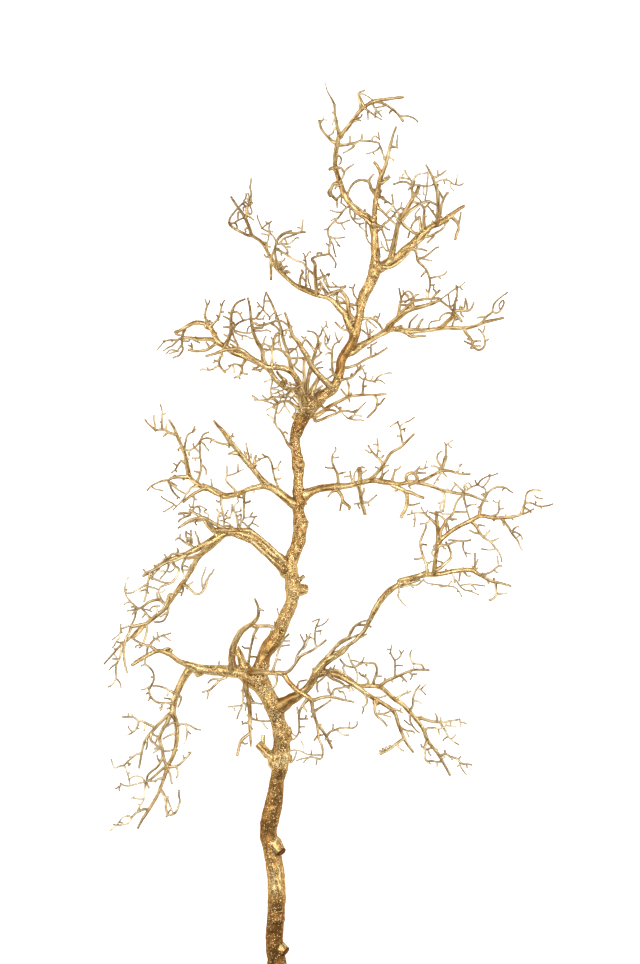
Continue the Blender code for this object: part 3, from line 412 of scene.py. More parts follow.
# %% Low right
LOW_RIGHT_TWIGS = """
420,669 424,670 429,670 b; 395,675 395,668 395,661 r1; 395,660 391,654 391,649 392,645;
391,650 387,649; 391,655 389,653; 395,660 399,658 402,653 404,650; 402,654 399,650;
396,666 403,666; 424,669 422,665 417,664 413,663 411,660 410,655 411,651 412,650; 413,664 413,670;
400,675 404,679 407,682; 404,679 402,682; 411,674 417,674; 412,675 410,680; 392,679 393,682;
385,682 385,678;
373,686 374,680 376,675 377,669 375,664 370,663 364,663 360,664 355,667 352,667 347,666 343,663
340,659 r1.2; 377,676 382,676; 366,663 367,666; 360,664 363,660 364,657; 360,663 356,661 350,660;
355,667 351,662 349,656 348,653; 355,667 357,673 357,682; 344,663 344,667;
368,685 368,680 365,677 361,675 359,672; 360,675 364,675; 365,677 366,674;
363,692 366,697 367,702 365,706 362,707 r1; 364,707 363,711 362,714; 351,687 350,692;
375,698 375,705 375,712 378,717 383,721 387,726 r1.3; 376,706 379,704; 375,701 373,703;
378,714 382,714 386,713 391,711; 379,713 379,710; 384,715 391,717; 376,698 381,697 386,696;
394,709 399,711 403,713; 400,711 401,708; 399,727 403,729 408,731 412,731 415,733 r1;
410,714 410,720 412,725 415,729 r1; 404,720 410,725; 415,729 420,733; 413,731 415,734;
407,732 409,737; 404,738 400,741 396,744 391,748 386,751 380,754 r1.2 e1.7 b; 390,748 389,745 r1 b;
387,749.5 386,746.5 r1.1 b; 384,751 382.5,748 r1.1 b; 381.5,752.5 380,750 r1 b;
397,744 399,748 404,751; 397,698 402,695 406,693 408,690 r1.1; 408,693 411,691;
411,709 413,705 413,700 414,695 416,690 420,685 r1.2; 418,689 421,690 426,695; 421,689 427,684;
414,701 418,701 422,704; 418,718 424,719 430,721 437,722 442,722 450,721 456,720 460,719 r1.5 e.9;
437,722 437,717 435,713; 441,721 441,717; 460,720 461,727; 461,722 467,724; 450,721 451,725;
446,721 446,726; 440,723 443,727 446,732 448,736 453,741 459,745 r1.1; 448,736 444,739 443,741;
451,739 454,737 456,734; 420,718 422,716; 425,730 428,728 434,728 440,729; 438,729 439,735;
440,728 447,726 456,727; 427,740 425,746 425,752 425,758 427,761 432,761 437,762 441,762 r1.1;
426,760 431,764; 436,762 437,767; 438,761 441,760; 437,750 432,748 428,749 425,750;
428,750 431,756; 426,747 422,747 421,744;
441,755 446,754 451,757 456,758 459,761 463,764 468,764 472,765 r1.2; 446,754 445,750;
459,759 461,756; 459,762 461,767 464,772 467,775; 459,765 457,767; 466,764 467,768;
452,757 452,760; 441,759 445,757; 330,671 338,671 346,676 352,680 358,686 r1.7 l;
345,672 343,668 344,664; 329,676 333,679 340,682 347,687 354,690 r1.4 l;
"""

# %% [markdown]
# The middle right limb leaves the stem in one thick bow and thins out in a burl, past which it
# forks into several sprays.

# %% Middle right
MID_RIGHT_TWIGS = """
392,485 399,488 405,491 407,496 407,503 405,510 402,515 401,518 r1.8 b;
406,491 412,493 418,496 424,498 r1.5 b; 407,505 413,505 420,503 r1; 396,487 397,491;
394,491 397,490; 409,486 411,489; 408,483 406,478 408,474 413,473 417,477 416,482 411,484 r1.6 b j;
338,484 338,479 337,473 334,467 332,460 333,454 336,450 335,447 r1.4 e.8; 333,457 339,457;
333,468 328,468 325,467; 338,474 342,473 346,472; 353,482 351,477 350,471; 351,477 344,477;
354,481 354,476 356,471 359,468 360,472 r1; 360,482 360,476 360,470 358,468 r1.6 b;
359,469 362,467 365,468; 362,473 367,470; 357,471 359,474; 382,478 384,474 389,470;
380,479 382,474 383,468; 383,464 379,459 375,455 371,450 368,445 r1.1; 379,459 382,457 384,455;
377,455 378,450 378,444 377,438; 378,446 375,444 373,445; 370,453 366,450 365,450; 378,450 381,452;
381,470 378,468 375,467; 384,467 389,465; 404,445 402,440 401,434 400,428 398,423 398,421 r1.1;
398,422 394,424 390,427; 400,426 404,423 409,421 415,417; 401,430 404,429 406,428; 404,429 405,432;
401,436 397,436; 391,483 393,477 395,471 398,469 401,466; 395,471 395,469;
415,474 417,470 420,466 r1.4 e.8; 419,469 423,469 428,467; 424,468 426,464 427,461;
416,473 420,473 426,473; 335,488 339,492 342,497 343,501 346,504 350,507 r1.6 b;
342,500 341,505 340,511 r1; 350,507 349,510; 337,490 332,492 330,494 328,497 r1;
358,485 360,491 361,498 362,504 364,510 365,515 r1.7 b; 361,496 364,491 364,488;
362,502 368,502 372,499 377,495 r1; 368,502 369,506; 361,504 354,504; 358,505 360,509;
441,490 444,494 445,500 444,506 443,511 r1.2; 444,500 442,502 440,506 440,510; 441,503 438,503;
444,509 440,512; 463,495 465,502 467,510 469,517 470,520 r1.3 e.8; 466,507 470,505 477,504;
441,471 441,466 439,463 437,459 438,454 442,451 r1.1; 441,470 443,464 444,459 446,455 446,450
446,445 r1.5 e1; 446,445 444,442; 446,445 449,443 453,440; 448,445 452,448;
442,470 444,465 446,460 447,456; 440,470 437,467 434,466 431,466; 456,473 459,470 460,466 462,464;
460,466 459,465; 463,474 463,472; 441,471 444,474 447,477; 441,472 439,476 437,479 434,484 r1;
437,480 439,480; 464,492 460,488 456,484 454,482; 456,484 453,488 451,491;
465,490 464,486 466,484 469,483 471,486; 466,486 468,489;
466,491 470,488 474,486 478,485 482,487 485,489 486,493 r1.4 e.9;
478,485 480,481 484,478 489,476 494,475 498,473 r1; 478,485 475,480;
490,477 488,481 486,484 483,487; 489,476 490,474; 486,494 481,495; 447,490 448,489;
306,497 304,501 305,505 r2 b;
"""

# %% [markdown]
# The middle left limb is three strands grown side by side. Past its elbow it turns into a long
# curtain of twigs that hangs towards the table, with an upright fan behind it.

# %% Middle left
MID_LEFT_TWIGS = """
284,562 276,553 268,545 262,540 256,535 250,531 240,530 230,530 220,530 215,530 r2.2 b l;
283,570 275,563 268,556 260,549 255,544 250,541 243,538 235,535 r2.3 b l;
197,556 190,558 185,558 r1.8 j; 170,595 168,601 165,607 161,612 157,615 r2.1 l;
146,624 140,625 131,627 r1.7 b; 132,625 126,627 121,629 r1.1;
145,625 141,629 137,634 132,638 r1.7 b;
185,556 180,558 174,561 168,562 162,565 157,568 151,571 146,573 143,576 r1.6 l; 146,573 143,569;
185,555 178,554 172,554 169,557 164,559 161,563 r1.2; 178,554 178,550 177,548;
166,558 165,555 164,554; 156,568 154,565; 156,567 158,564; 160,566 159,563;
186,558 183,563 182,569 r2 b; 172,562 175,566 179,569 178,574 175,579 171,583 165,585 161,587
159,591 160,596 162,600 r1.8 e.9; 182,570 184,575 184,580; 184,570 188,570 190,567 191,564;
185,566 188,567; 169,563 168,568 165,573 160,579 r1; 160,571 166,571 170,572 173,570 176,567;
150,577 157,580 162,582 168,583 174,582 r1 j; 153,574 152,580; 150,577 153,575 157,571 160,568 j;
192,546 187,544 183,541 179,538 177,539 175,540 r1.1; 179,538 180,534;
191,545 190,540 191,535 191,530; 187,541 186,536 186,531; 187,532 189,534 192,535; 187,537 191,538;
189,538 188,542; 192,543 192,538; 199,543 198,538 196,534 195,531;
217,538 216,533 212,530 207,525 204,520 201,517 200,515 r1.6 b; 215,529 211,525 207,521 r1.1 j;
203,520 195,521 189,522 182,526 178,528 r1.2; 208,520 215,524 222,527 225,528 r1.3;
214,537 213,536; 200,516 196,514 192,512 189,513 184,513 178,514 r1.2 b;
190,515 185,517 181,519 178,522; 185,516 183,514; 193,510 195,507 198,507 200,509 200,513 r.9;
193,507 190,507 189,504; 196,506 200,506 204,508 207,510; 193,506 194,500 194,495; 193,512 190,511;
188,510 191,509; 199,513 199,509; 200,518 197,520 195,523 197,525; 204,512 208,514 208,519;
218,525 218,519 219,514 218,511 216,509; 219,512 222,514 224,517; 218,517 221,516; 224,521 220,521;
224,521 227,518 230,519 231,518; 225,522 228,523 231,525; 225,515 227,512 228,510; 225,515 230,518;
230,519 231,515 232,511 232,506 232,504; 239,529 238,525 237,520 236,515 234,511 232,510 r1.1;
234,510 234,506 237,503 239,501; 235,511 241,511; 241,511 241,507; 237,517 240,514;
238,520 241,519 241,514; 240,527 241,522 243,520 244,517; 251,530 248,527 244,523 242,522;
246,518 249,517 254,517 257,516; 250,516 253,512; 248,527 251,524 253,521 255,517;
252,523 256,525 259,527; 150,571 149,577 148,583 147,588 146,593 145,598 144,602 r1.3 b;
147,588 141,591; 147,590 149,594; 148,587 154,588 159,590; 147,584 142,587 138,589 133,592;
140,588 140,593 139,594;
164,603 160,600 155,600 149,602 145,605 141,608 138,609 136,612 135,617 133,622 131,626 r1.5 e1;
138,609 134,607 131,607; 138,609 133,610 127,611; 137,610 133,613; 137,611 132,615;
151,619 145,612 142,609 r1.1; 142,609 148,610 152,612; 145,614 142,618;
138,608 134,605 130,601 127,597 125,592 125,586 126,581 129,577 r1.1; 126,593 131,593 134,592;
126,592 127,589; 130,602 126,603 124,605; 158,600 157,595 157,592; 163,592 165,589;
152,607 157,606 160,606; 157,606 157,611 158,613; 168,607 168,612 166,617 163,621 158,622 154,622;
166,613 162,616 160,617; 183,586 183,591 181,596; 183,592 178,592;
182,583 188,587 194,593 199,594 203,591 206,586 207,581 209,576 212,573 214,569 r1.2;
203,589 202,584 202,578 204,573 206,567; 204,585 206,580; 187,586 190,584 193,582; 187,586 187,589;
147,624 147,630 146,635 144,641 142,646 139,648 r1.1; 142,644 136,646 136,648;
131,628 129,633 126,638 125,643 124,649 124,656 125,664 127,673 r1.2 b;
122,646 121,652 120,657 118,661 116,666 116,672 116,678 114,682 112,685 108,687 r1.2;
118,660 116,657 114,654; 118,660 112,659; 117,663 113,666 109,670; 117,679 120,683 121,688;
121,629 120,633 119,638 116,642 114,646 112,648 r1; 120,633 117,636 112,640; 121,629 121,624;
121,630 122,633; 125,642 117,642; 117,649 114,649; 233,528 229,526 224,526 r1.2;
"""

# %% [markdown]
# The high left limb splits at its tip into a prong that dips to the table and a thin arm. A straight
# spear stands up from its root.

# %% High left
HIGH_LEFT_TWIGS = """
222,496 218,491 210,487 203,484 r1.6 l; 240,453 236,453 232,453 228,454 r2 e1 b;
229,441 229,445 229,448 r1.2 b;
228,445 224,444 219,443 215,441 211,439 207,438 203,439 201,440 r1.2; 212,440 210,443;
216,441 213,439; 230,440 232,436 233,433; 232,436 234,437; 233,442 234,443;
229,436 226,432 221,429 218,426 r1 j; 250,463 249,457 247,449 246,443; 246,456 245,453 244,451;
246,453 248,452; 250,462 251,457 251,453; 254,467 254,463 255,459 256,455 r1.2 b;
254,463 257,461 260,460; 259,459 258,458; 254,468 257,465; 245,461 246,462; 256,472 256,474;
278,489 277,484 275,479 273,472 272,465 270,460 268,457 265,456 262,454 r1.1;
275,479 279,479 281,478; 273,469 277,468 279,464 281,461 r1; 277,468 279,471;
267,456 263,458 260,459; 189,477 184,477 178,477 172,478 168,480 162,481 157,483 151,486 r1.7 e.9;
151,486 149,488 147,491; 151,486 155,489 160,490 163,491;
168,480 170,485 172,490 175,494 178,497 180,498 r1; 177,497 177,499;
168,481 170,483 176,488 182,492 186,494; 171,482 177,486; 176,478 174,475; 183,479 184,480;
200,485 196,486 191,488 189,491 186,494 184,498 181,502 178,505 173,510 r1.2 e.7;
176,506 172,503 168,501 163,498 161,496; 174,505 170,508 165,511 163,512;
207,489 203,489 197,492 193,494 188,498 183,502 r1.4 b; 195,499 197,500;
185,463 181,461 178,465 175,470 171,473; 176,465 173,463; 175,470 177,472; 181,462 181,460;
187,459 189,459; 178,449 179,451;
176,436 170,433 165,430 160,429.5 156,430 152,427 148,423.5 145,419.5 r1.2; 157,430 155,431;
155,429 155,425 154,420 154,415; 162,429 162,422 162,415 162,410 160,404 r1; 162,422 160,422;
163,415 166,413; 166,430 166,427 167,424; 168,432 165,435 163,437; 179,440 181,437;
185,450 185,445 186,440 187,436 190,433 193,432 196,429 r1; 192,432 194,428 195,426;
185,450 190,450 194,448 197,445 200,441 201,439 203,435 206,433 209,432 r1.2 b;
201,441 204,444 206,447 209,451; 194,447 193,444 194,443; 196,449 198,451 200,453; 189,451 189,455
190,456; 197,483 198,480 200,474 201,468 201,461 200,455 200,448 200,441 r1.2;
200,458 196,458 192,458; 195,458 195,461; 201,464 204,467 206,470 206,475; 200,473 197,472 194,471;
212,490 212,485 211,479; 237,494 234,489 230,485.5 227,482 226,479 227,475.5 r1;
227,475 231,475 236,473 240,471 244,469; 238,472 238,467 238,464; 227,475 227,470 227,466;
253,489 252,486; 254,492 253,493; 244,492 244,499 244,506 244,512 244,518 r1.2;
244,504 248,502 250,502 250,500; 237,495 239,497 243,498; 238,497 238,500;
221,496 221,502 222,508 223,515 224,520 224,527 r1.1; 221,502 218,502 216,500;
"""

# %% [markdown]
# The creeper is a thin shoot that climbs from the stem in front of the crown. The low twigs of the
# crown tangle with it, and some of them grow from the limb above.

# %% Creeper and low crown
CREEPER_TWIGS = """
267,414 271,417 275,420 r1 b; 276,408 273,408; 278,402 275,399 272,396 r1;
271.5,377 272.3,382 270.8,388 270.8,392 272.3,398 278,403.5 r1.3 e.9 z95-103 s.15;
272,396 268,399 263,400 258,400 254,400 r1.2 b; 258,400 255,397 252,395; 267,399 264,397 262,395;
263,401 268,402 273,404 275,407 r1; 270,402 278,404; 264,382 267,381 271,379 r1; 273,388 278,387;
272,394 276,393 279,391 281,391; 273,396 277,397 279,397; 279,395 284,395 288,393; 280,383 283,380;
285,383 288,384; 283,389 287,387 290,384 289,382 r1; 290,383 294,384 297,385;
288,388 293,388 297,387 300,385 r1.5 b; 285,398 287,395 290,392; 280,398 284,397;
292,397 296,402 300,406 r1.2 j; 293,395 297,398 299,402 300,406 301,410 r1.3 j; 290,400 290,404;
283,402 286,397; 279,413 281.5,409.5 284,406 284,402; 284.5,401 286,407 288.5,410.5 290.5,414;
301,386.5 296,389 291,392.5 287,397 284,402 r1.4 e1 b z92-102; 289,397 292.7,397.7 295,401;
289.5,382.4 291,386.3 289,390 287,393 r1.2 b z96-100;
289.5,382.4 295,385.6 301,386.3 r1.1 b z97-94; 277,397.5 281,396 284,396.5;
273,390 277,389.5 281,391 284,389; 282,391 284,394 283,398; 293,391 294,395 291,398;
279,393 281,398 279,402; 295,408 296,411 294,414 r1; 298,409 299,413; 302,411 301,408;
285,432 288,434; 276,421 273,423;
"""

# %% [markdown]
# Left of the crown a long limb arches over, with a second one in front of it. Both bear close,
# curling sprays.

# %% Left of the crown
CROWN_LEFT_TWIGS = """
175,332 176,334 179,335 182,335 r1; 218,343 214,345 210,348 206,350 200,351 194,351 190,350
188,350 r1.3 b; 192,350 192,345 191,343; 192,346 190,346 188,345; 209,348 208,345 206,342 r1.1;
218,341 212,340 208,340 r1.2 j; 178,340 175,343 172,346 169,347 r1; 169,347 166,349 163,351;
165,341 163,341; 172,340 172,342; 180,338 182,341 182,345 183,349 181,353 178,356 175,357
173,358 r1.4 e1; 182,338 183,334 184,331 186,330 r1.3 b; 182,345 180,347 178,350 178,352 r1;
178,351 174,352 171,353 169,354; 178,351 173,350 170,350 168,352 166,354; 184,341 189,341 190,338;
192,338 196,341 200,343; 196,338 196,337; 198,323 196,321 197,322;
209,325 207,321 205,317 205,314 206,309 207,306 206,302 205,299 r1.3 e.8; 207,306 209,303 210,300;
205,314 204,314; 211,326 214,323 217,320 219,317 220,313 221,309 222,305 224,301 225,300 r1.2 e.8;
221,306 220,303; 218,317 216,315; 221,313 224,312; 209,323 210,320; 210,323 212,322;
218,319 219,320; 205,327 208,329 211,329; 216,333 217,333; 231,314 229,313 228,312;
231,320 227,318 223,316; 230,327 226,327 223,327; 228,336 224,335 224,334;
233,312 237,312 240,315 243,320; 240,315 241,313 242,312; 239,348 237,343 234,337 232,331 r1;
236,348 230,344; 233,329 236,325 240,322 245,320 250,319 255,319 r1.1; 234,323 234,330;
234,331 240,332 245,333 250,333 256,331 262,331 267,330 271,332 r1;
234,332 240,335 246,336 250,338 253,339 r1; 242,336 242,340; 247,332 248,328 250,326;
252,319 256,318 259,315 261,312 263,309 264,305 264,300 265,296 266,293 r1.4 e.9;
263,308 260,306 257,302; 260,306 257,307; 256,318 258,314 259,312; 263,309 265,312 268,315 270,318;
257,319 264,319; 263,318 265,315;
288,326 285,323 281,321 276,321 270,323 264,325 258,325 255,323 r1.5 e1;
256,328 262,328 263,325 r1.2; 264,323 264,322; 271,316 274,313; 270,318 269,320;
276,317 280,315 282,314; 270,301 271,300; 263,344 264,340 266,336;
262,345 264,344 267,345 270,348 r1; 272,346 273,341 271,337 r1; 272,348 275,344 279,341;
272,366 272,360 272,353 272,348 274,342 275,338 278,334 r1.2; 279,341 280,346 281,350;
275,349 279,350 283,352; 275,365 276,362; 246,359 244,362 242,366 242,370 241,373 r1.3 b;
242,372 245,374 248,374; 241,373 239,376 236,377 234,378 r1; 239,376 240,379;
242,367 239,365 235,364 231,365 228,366 r.9; 233,365 234,369 234,373;
222,352 221,355 220,358 219,362 220,366 222,369 224,371 225,373 r1.2; 220,360 217,361 214,360;
216,361 213,363; 219,365 216,367 213,369 208,370 202,369 200,371 r.9; 209,369 207,367;
224,371 228,369 231,366; 222,356 223,356; 252,370 255,368 258,367; 253,369 257,370 262,369 266,368;
237,345 233,341 229,339 r1.1; 261,372 256,369 251,366 r1.6 l; 286,381 281,377 277,372 r1.8 l;
"""

# %% [markdown]
# Inside the crown thin spires stand among the limbs, and a few low shoots run off to the right.

# %% Inner crown
INNER_TWIGS = """
302,397 303,388 304,380 304,370 304,360 r1.5 b; 305,396 309,395 314,391 318,389 322,386 r1.6 j;
310,398 314,395 318,392 321,390 r1.2 j; 307,385 308,378.5 310.6,373 313.5,370 r1.3;
305,350.5 308,354 310.6,357; 322,352 318,356 314.5,359; 322,361.5 318,363.5 314.5,366;
323,367.5 319,368 315,370; 321,343 319,348 320,352; 288,350 291,348.5 294.5,348.4 r.8;
293,348.6 290.6,353; 296.6,350.7 297.7,354 297.6,358; 297.6,358 297,362 294.5,365.5;
279.5,337 280,344 281.3,349.3 286.3,356.4 291,358.6 r1.1;
303,358 297,358 291,358 287,354 283,351 278,349 272,350 264,349 r1.1;
301,372 297,369 294,366 293,364; 294,366 296,361 296,358; 272,350 268,350 265,352 263,355;
265,344 270,346 274,348 279,350 283,351; 275,325 273,322; 271,324 275,326 278,329 280,333;
279,333 276,334 274,338 273,342; 279,334 279,340 279,345; 291,328 292,326 r1.6 b;
290,329 286,330 283,331; 287,330 286,334 284,336; 289,337 291,338;
332,351 328,348 325,344 325,340 325,336 r1; 332,353 328,353 325,355; 333,362 335,362;
331,370 329,369; 327,379 330,377 334,374; 328,343 327,337 325,333 323,329 321,326 r1;
323,329 326,326 328,328; 326,326 326,321; 329,340 330,335; 339,343 338,341 336,336 335,332 r1;
340,343 341,339 343,336; 301.6,336.4 307.7,341.4 312,347 315,352 r1.1; 318,338 321,334 322,330 r.9;
300,346 304,341 306,336 r1; 292,352 297,347 299,341 r1; 341,389 344,393 347,396 349,397 r1.3 j;
349,397 349,392 349,387 348,383 r1.4 b; 348,383 347,381; 349,397 352,393; 349,397 350,402;
335,405 338,408 340,410; 341,407 341,411 345,416 349,419 r1;
315,421 320,420 325,418 330,416 335,414 339,412 343,411 348,411 352,412 355,411 357,410 r1.3;
355,413 359,409 363,405 366,402; 349,419 350,417 355,415 360,416 362,416; 349,419 352,418 354,416;
349,419 355,420 361,420 364,421 r1; 352,418 355,413;
375,396 377,400 377,405 375,410 371,414 367,418 r1.5 b; 377,405 380,404 383,400 385,398;
362,396 363,390 363,385 364,380 365,378 r1.3; 363,387 366,386 367,385;
366,379 369,381 372,379 373,376; 364,380 361,378 359,376; 365,378 366,376 364,372 363,369 r1;
365,379 370,381 375,381 379,380 383,382 385,384 r1; 370,382 376,383;
375,380 378,377 381,375 385,374 388,373 392,373 r1; 366,373 367,373;
340,380 345,379 350,378 354,375 357,371 359,368 360,367 r1.3; 351,377 352,373;
357,371 360,370 362,368 363,366 365,365 r1; 359,368 357,366; 359,368 361,365;
342,369 350,367 358,364 366,359 374,356 381,352 387,348 r1.7 e1.1 z82-62;
371,358 371,353 371,347 371,345 r1.2; 370,347 367,348; 371,345 374,344 377,342; 376,354 375,353;
"""

# %% [markdown]
# The upper left limb bends back down to the table, and throws up a bright spray from its elbow.

# %% Upper left
PEAK_LEFT_TWIGS = """
279,244 284,238.5 291,236 297,234 r1; 301,232.5 302,228 303,219.5 r.9; 302,228.5 297.5,227.5;
252,212 250,206 246,203; 250,204 247,199 r.9;
350,320 349,313 348,306 348,302 346,297 343,293 340,291 337,291 333,292 330,294 327,297 r1.8 j;
355,320 352,316 349,312 r1.5 j; 300,286.5 307,288.5 314,291 r1.4;
273,262 272,256 274,250 276,244 r1.1 j;
276,244 275,239 273,236 271,234 269,232 265,230 261,228 r1.3 b; 262,228 260,224 258,219 257,215 r1;
262,228 266,225 269,223 272,221 r1.3 b; 269,222 269,228 269,234 268,240 267,246 267,250 r1.2;
269,231 273,232; 266,221 266,223; 267,235 264,234 261,234 r1;
277,240 279,237 282,234 286,232 290,231 r1.5 j; 292,233 291,230;
280,243 283,245 286,248 288,252 287,255 r1.6 b;
281,243 285,244 289,244 293,241 296,238 299,238 r1.2; 287,247 291,247; 286,241 287,245;
278,250 283,252.5 287,255 293,259 297,261 301,262 304,264 306,267 312,273 r1.2 e1.2;
278,248 281,252 285,254 287,252; 281,262 284,260 285,258; 281,254 282,256;
279,262 282,266 283,270 r1.6 b; 284,272 287,270.5 290,273 r1.1; 285,272 288,273;
284,269 286,266 288,267; 319,291 322,285 320,281 r1.2; 320,282 324,288 329,294 r1.3 b;
323.5,280 327,287 331,293 r1.1; 271,261 271,267 271,273 271,280 r1.4 b; 269,257 266,257 264,254;
263,243 266,243 r1.5 b; 267,246 271,247 r1.2 b;
253,236 247,235 243,233 239,231 235,229 231,226 229,223 r1.3 b;
229,223 230,218 233,214 236,210 240,206 243,203 246,202 r1.2 j;
230,223 234,223 237,221 241,219 244,218 r1.1 j; 235,223 237,226 237,229; 245,229 246,232;
238,213 238,216 238,219; 246,219 247,213 247,207 250,203 r2 b; 250,205 251,203 r2.4 b;
243,204 246,207; 243,200 245,203 r1.2; 250,203 251,198 251,192 250,187 251,182 251,178 r1.3 e.8;
248,201 249,197 248,193; 244,201 246,197 246,193; 250,203 253,203 r2 b; 247,214 250,217 254,220;
248,213 251,214; 243,208 244,211; 299,286 300,281 301,276 303,272 301,270 r1 e1.4 b;
302,277 305,281 307,286; 306,288 306,280 306,274 306,268 r.9; 306,267 306,262 305,258 304,254
303,253 r1.2; 305,262 303,260; 306,257 308,254 310,251 311,253;
306,267 309,270 312,272 313,275 r1.3 b; 309,270 308,276 309,283 311,288 r1 j; 317,253 322,253;
329,254 329,249 330,243 330,239 r1.1; 329,254 332,257 334,260 336,264 335,268 r1;
349,206 346,208 343,211 341,214 338,218 335,221 331,225 328,229 328,234 330,240 329,250 329,254
r1.3 e1.1 z92-115; 328,229 324,230 r1; 330,239 332,238 336,238 340,238 345,237 r1.1 b;
330,239 331,236; 330,246 328,245 326,243; 331,240 333,245 334,250 336,257;
335,240 338,244 340,247 r1; 338,243 340,246; 337,246 339,245; 337,218 334,219 331,221;
335,221 338,223 342,223 347,221 350,220 r1.1; 341,224 343,227 345,230; 343,213 336,212 330,210 r.9;
316,279 320,278 324,276 r1.2 b; 324,277 322,273 320,269; 324,277 326,279 327,283 329,287 r1;
326,277 327,274 330,274; 329,277 328,275; 329,287 335,287 341,287 346,286 r1;
341,289 346,286 r1.4 b; 332,282 335,285 338,288; 327,297 325,292 322,287 319,283 r1.4 b;
325,288 326,292; 320,284 318,286; 328,294 333,293 338,291 343,291 r1.6 j;
326,297 331,294 337,292 r1.4 j; 336,303 340,303 345,303 350,304 355,305 358,306 r1.3 j;
351,306 353,308 354,310 r1; 357,300 354,295 353,291 352,288 349,287 r1.2;
353,290 354,286 355,284 r1; 338,303 337,297 338,293 r1 j; 333,296 336,294 r1;
340,297 343,299 345,302 j; 350,329 345,330 341,328 338,325 335,322 r1; 342,328 344,325;
"""

# %% [markdown]
# Two leaders finish the stem. The left one carries a nodding arm, the right one stands straight.

# %% Leaders
LEADER_TWIGS = """
371,224 366,219 361,216 357,213 353,210 349,206 r1.6 l; 373,220 368,215 363,212 357,207 352,203
350,199 r1.5 l; 364,212 365,209; 350,201 350,199; 344,205 347,208 r1.5 b; 342,195 341,203;
349,207 350,213 352,218 356,223 r1.1; 356,223 360,224 364,223 r1.2; 352,218 356,219 361,219 r1;
355,212 355,216 354,219 r1; 355,212 358,214 362,214 r1.3; 372,246 368,241 366,236 365,232 363,229
360,227 r1.1; 366,236 368,236; 366,228 366,222 365,218 r1; 367,223 366,229 367,235 r1;
334,114 332,112; 335,120 338,121; 334,120 332,125; 334,129 333,133 330,135 328,136;
336,105 334,106; 336,143 332,141 329,138 325,134 322,130 320,125 319,120 r1.4 b;
320,123 323,120 327,120; 323,120 323,116; 336,169 332,168 329,170 r1.4 b;
337,168 341,168 343,171 345,172 r1.2 b; 344,172 348,168 354,164; 344,172 343,177 340,181 r1.5 j;
339,156 341,158 341,162 339,165 r.9 j; 339,183 334,184 331,189 331,194 336,200 r1.5 b;
337,200 339,197 341,194; 337,200 337,204 337,208; 329,190 328,193 330,197; 337,186 335,189;
340,184 337,184 r2.6 b; 341,138 344,133 347,130 351,125 r1.1 j; 352,122 355,121 359,120 361,121;
357,118 361,117 362,114; 361,108 360,103 359,98 358,94 360,92 363,91 365,90 r1.7 e.9;
364,107 362,102 360,97 359,94 r1.2 j; 359,94 363,94 367,96 370,98 373,100 r1.2 j;
401,116 406,116 411,117 415,119 418,122 r1; 392,110 390,112 389,114; 384,106 379,107 375,108;
366,109 370,112 374,115 376,117 r1; 368,110 368,115 368,120 r1; 373,105 375,109 378,112 382,117 r1;
374,116 378,112 382,110 r1; 374,114 377,117 382,120; 375,112 375,118;
337,146 340,145 345,145 350,144 355,143 360,141 365,141 370,141 375,142 379,143 r1.4 e1.1 z76-64;
379,143 380,147 382,152 384,156 386,160 r1.5 b; 380,145 382,150 383,155 384,160 r1;
361,140 362,134 r1; 350,144 350,139 350,136 r1; 355,143 353,147 349,150 343,153 r1;
371,141 373,138 375,136 378,138 380,140 r1 j; 380,139 379,136 378,132; 379,147 377,150 373,152
370,153 366,154 r.9; 373,153 375,155; 391,147 395,147 398,148 r1.2; 397,147 397,141 398,135;
389,146 391,147; 391,158 394,160; 393,159 393,161; 381,176 380,171 378,167 376,164 374,162 r1.5 b;
383,172 380,170; 382,183 386,180 390,177 r1.4 b; 384,179 387,177 389,175 r1;
377,195 373,191 371,188 370,184 369,182 367,181 362,180 357,181 353,184 350,188 348,193
347,198 r1.5 j; 369,181 371,177 374,174; 372,190 378,188 r1; 376,205 378,206 r3 b;
378,208 381,210 384,213 387,216 390,219 393,222 396,225 397,228 r1.2;
380,197 383,197 385,200 388,202 391,204 r1.1; 381,196 383,200; 384,203 388,202;
393,205 395,209 398,213 400,216; 386,214 390,210 393,204 392,194 r1; 392,211 394,212;
376,225 379,226 382,227 r1.4 b; 382,228 384,224 388,221 390,219 393,216 396,212 399,209 402,208
406,210 r1.5 e1; 384,226 387,229 390,230; 382,228 379,230 376,233 r1.1 j;
389,251 387,245 386,240 384,235 382,229 r1.6 j; 386,240 391,240 392,239;
387,251 384,248 382,245 381,241 r1; 382,247 379,249; 380,258 378,255; 381,190 380,195;
"""

# %% [markdown]
# Right of the peak the wood is crowded: a limb with a spire, a mast and a hanging twig, all laced
# together by side shoots.

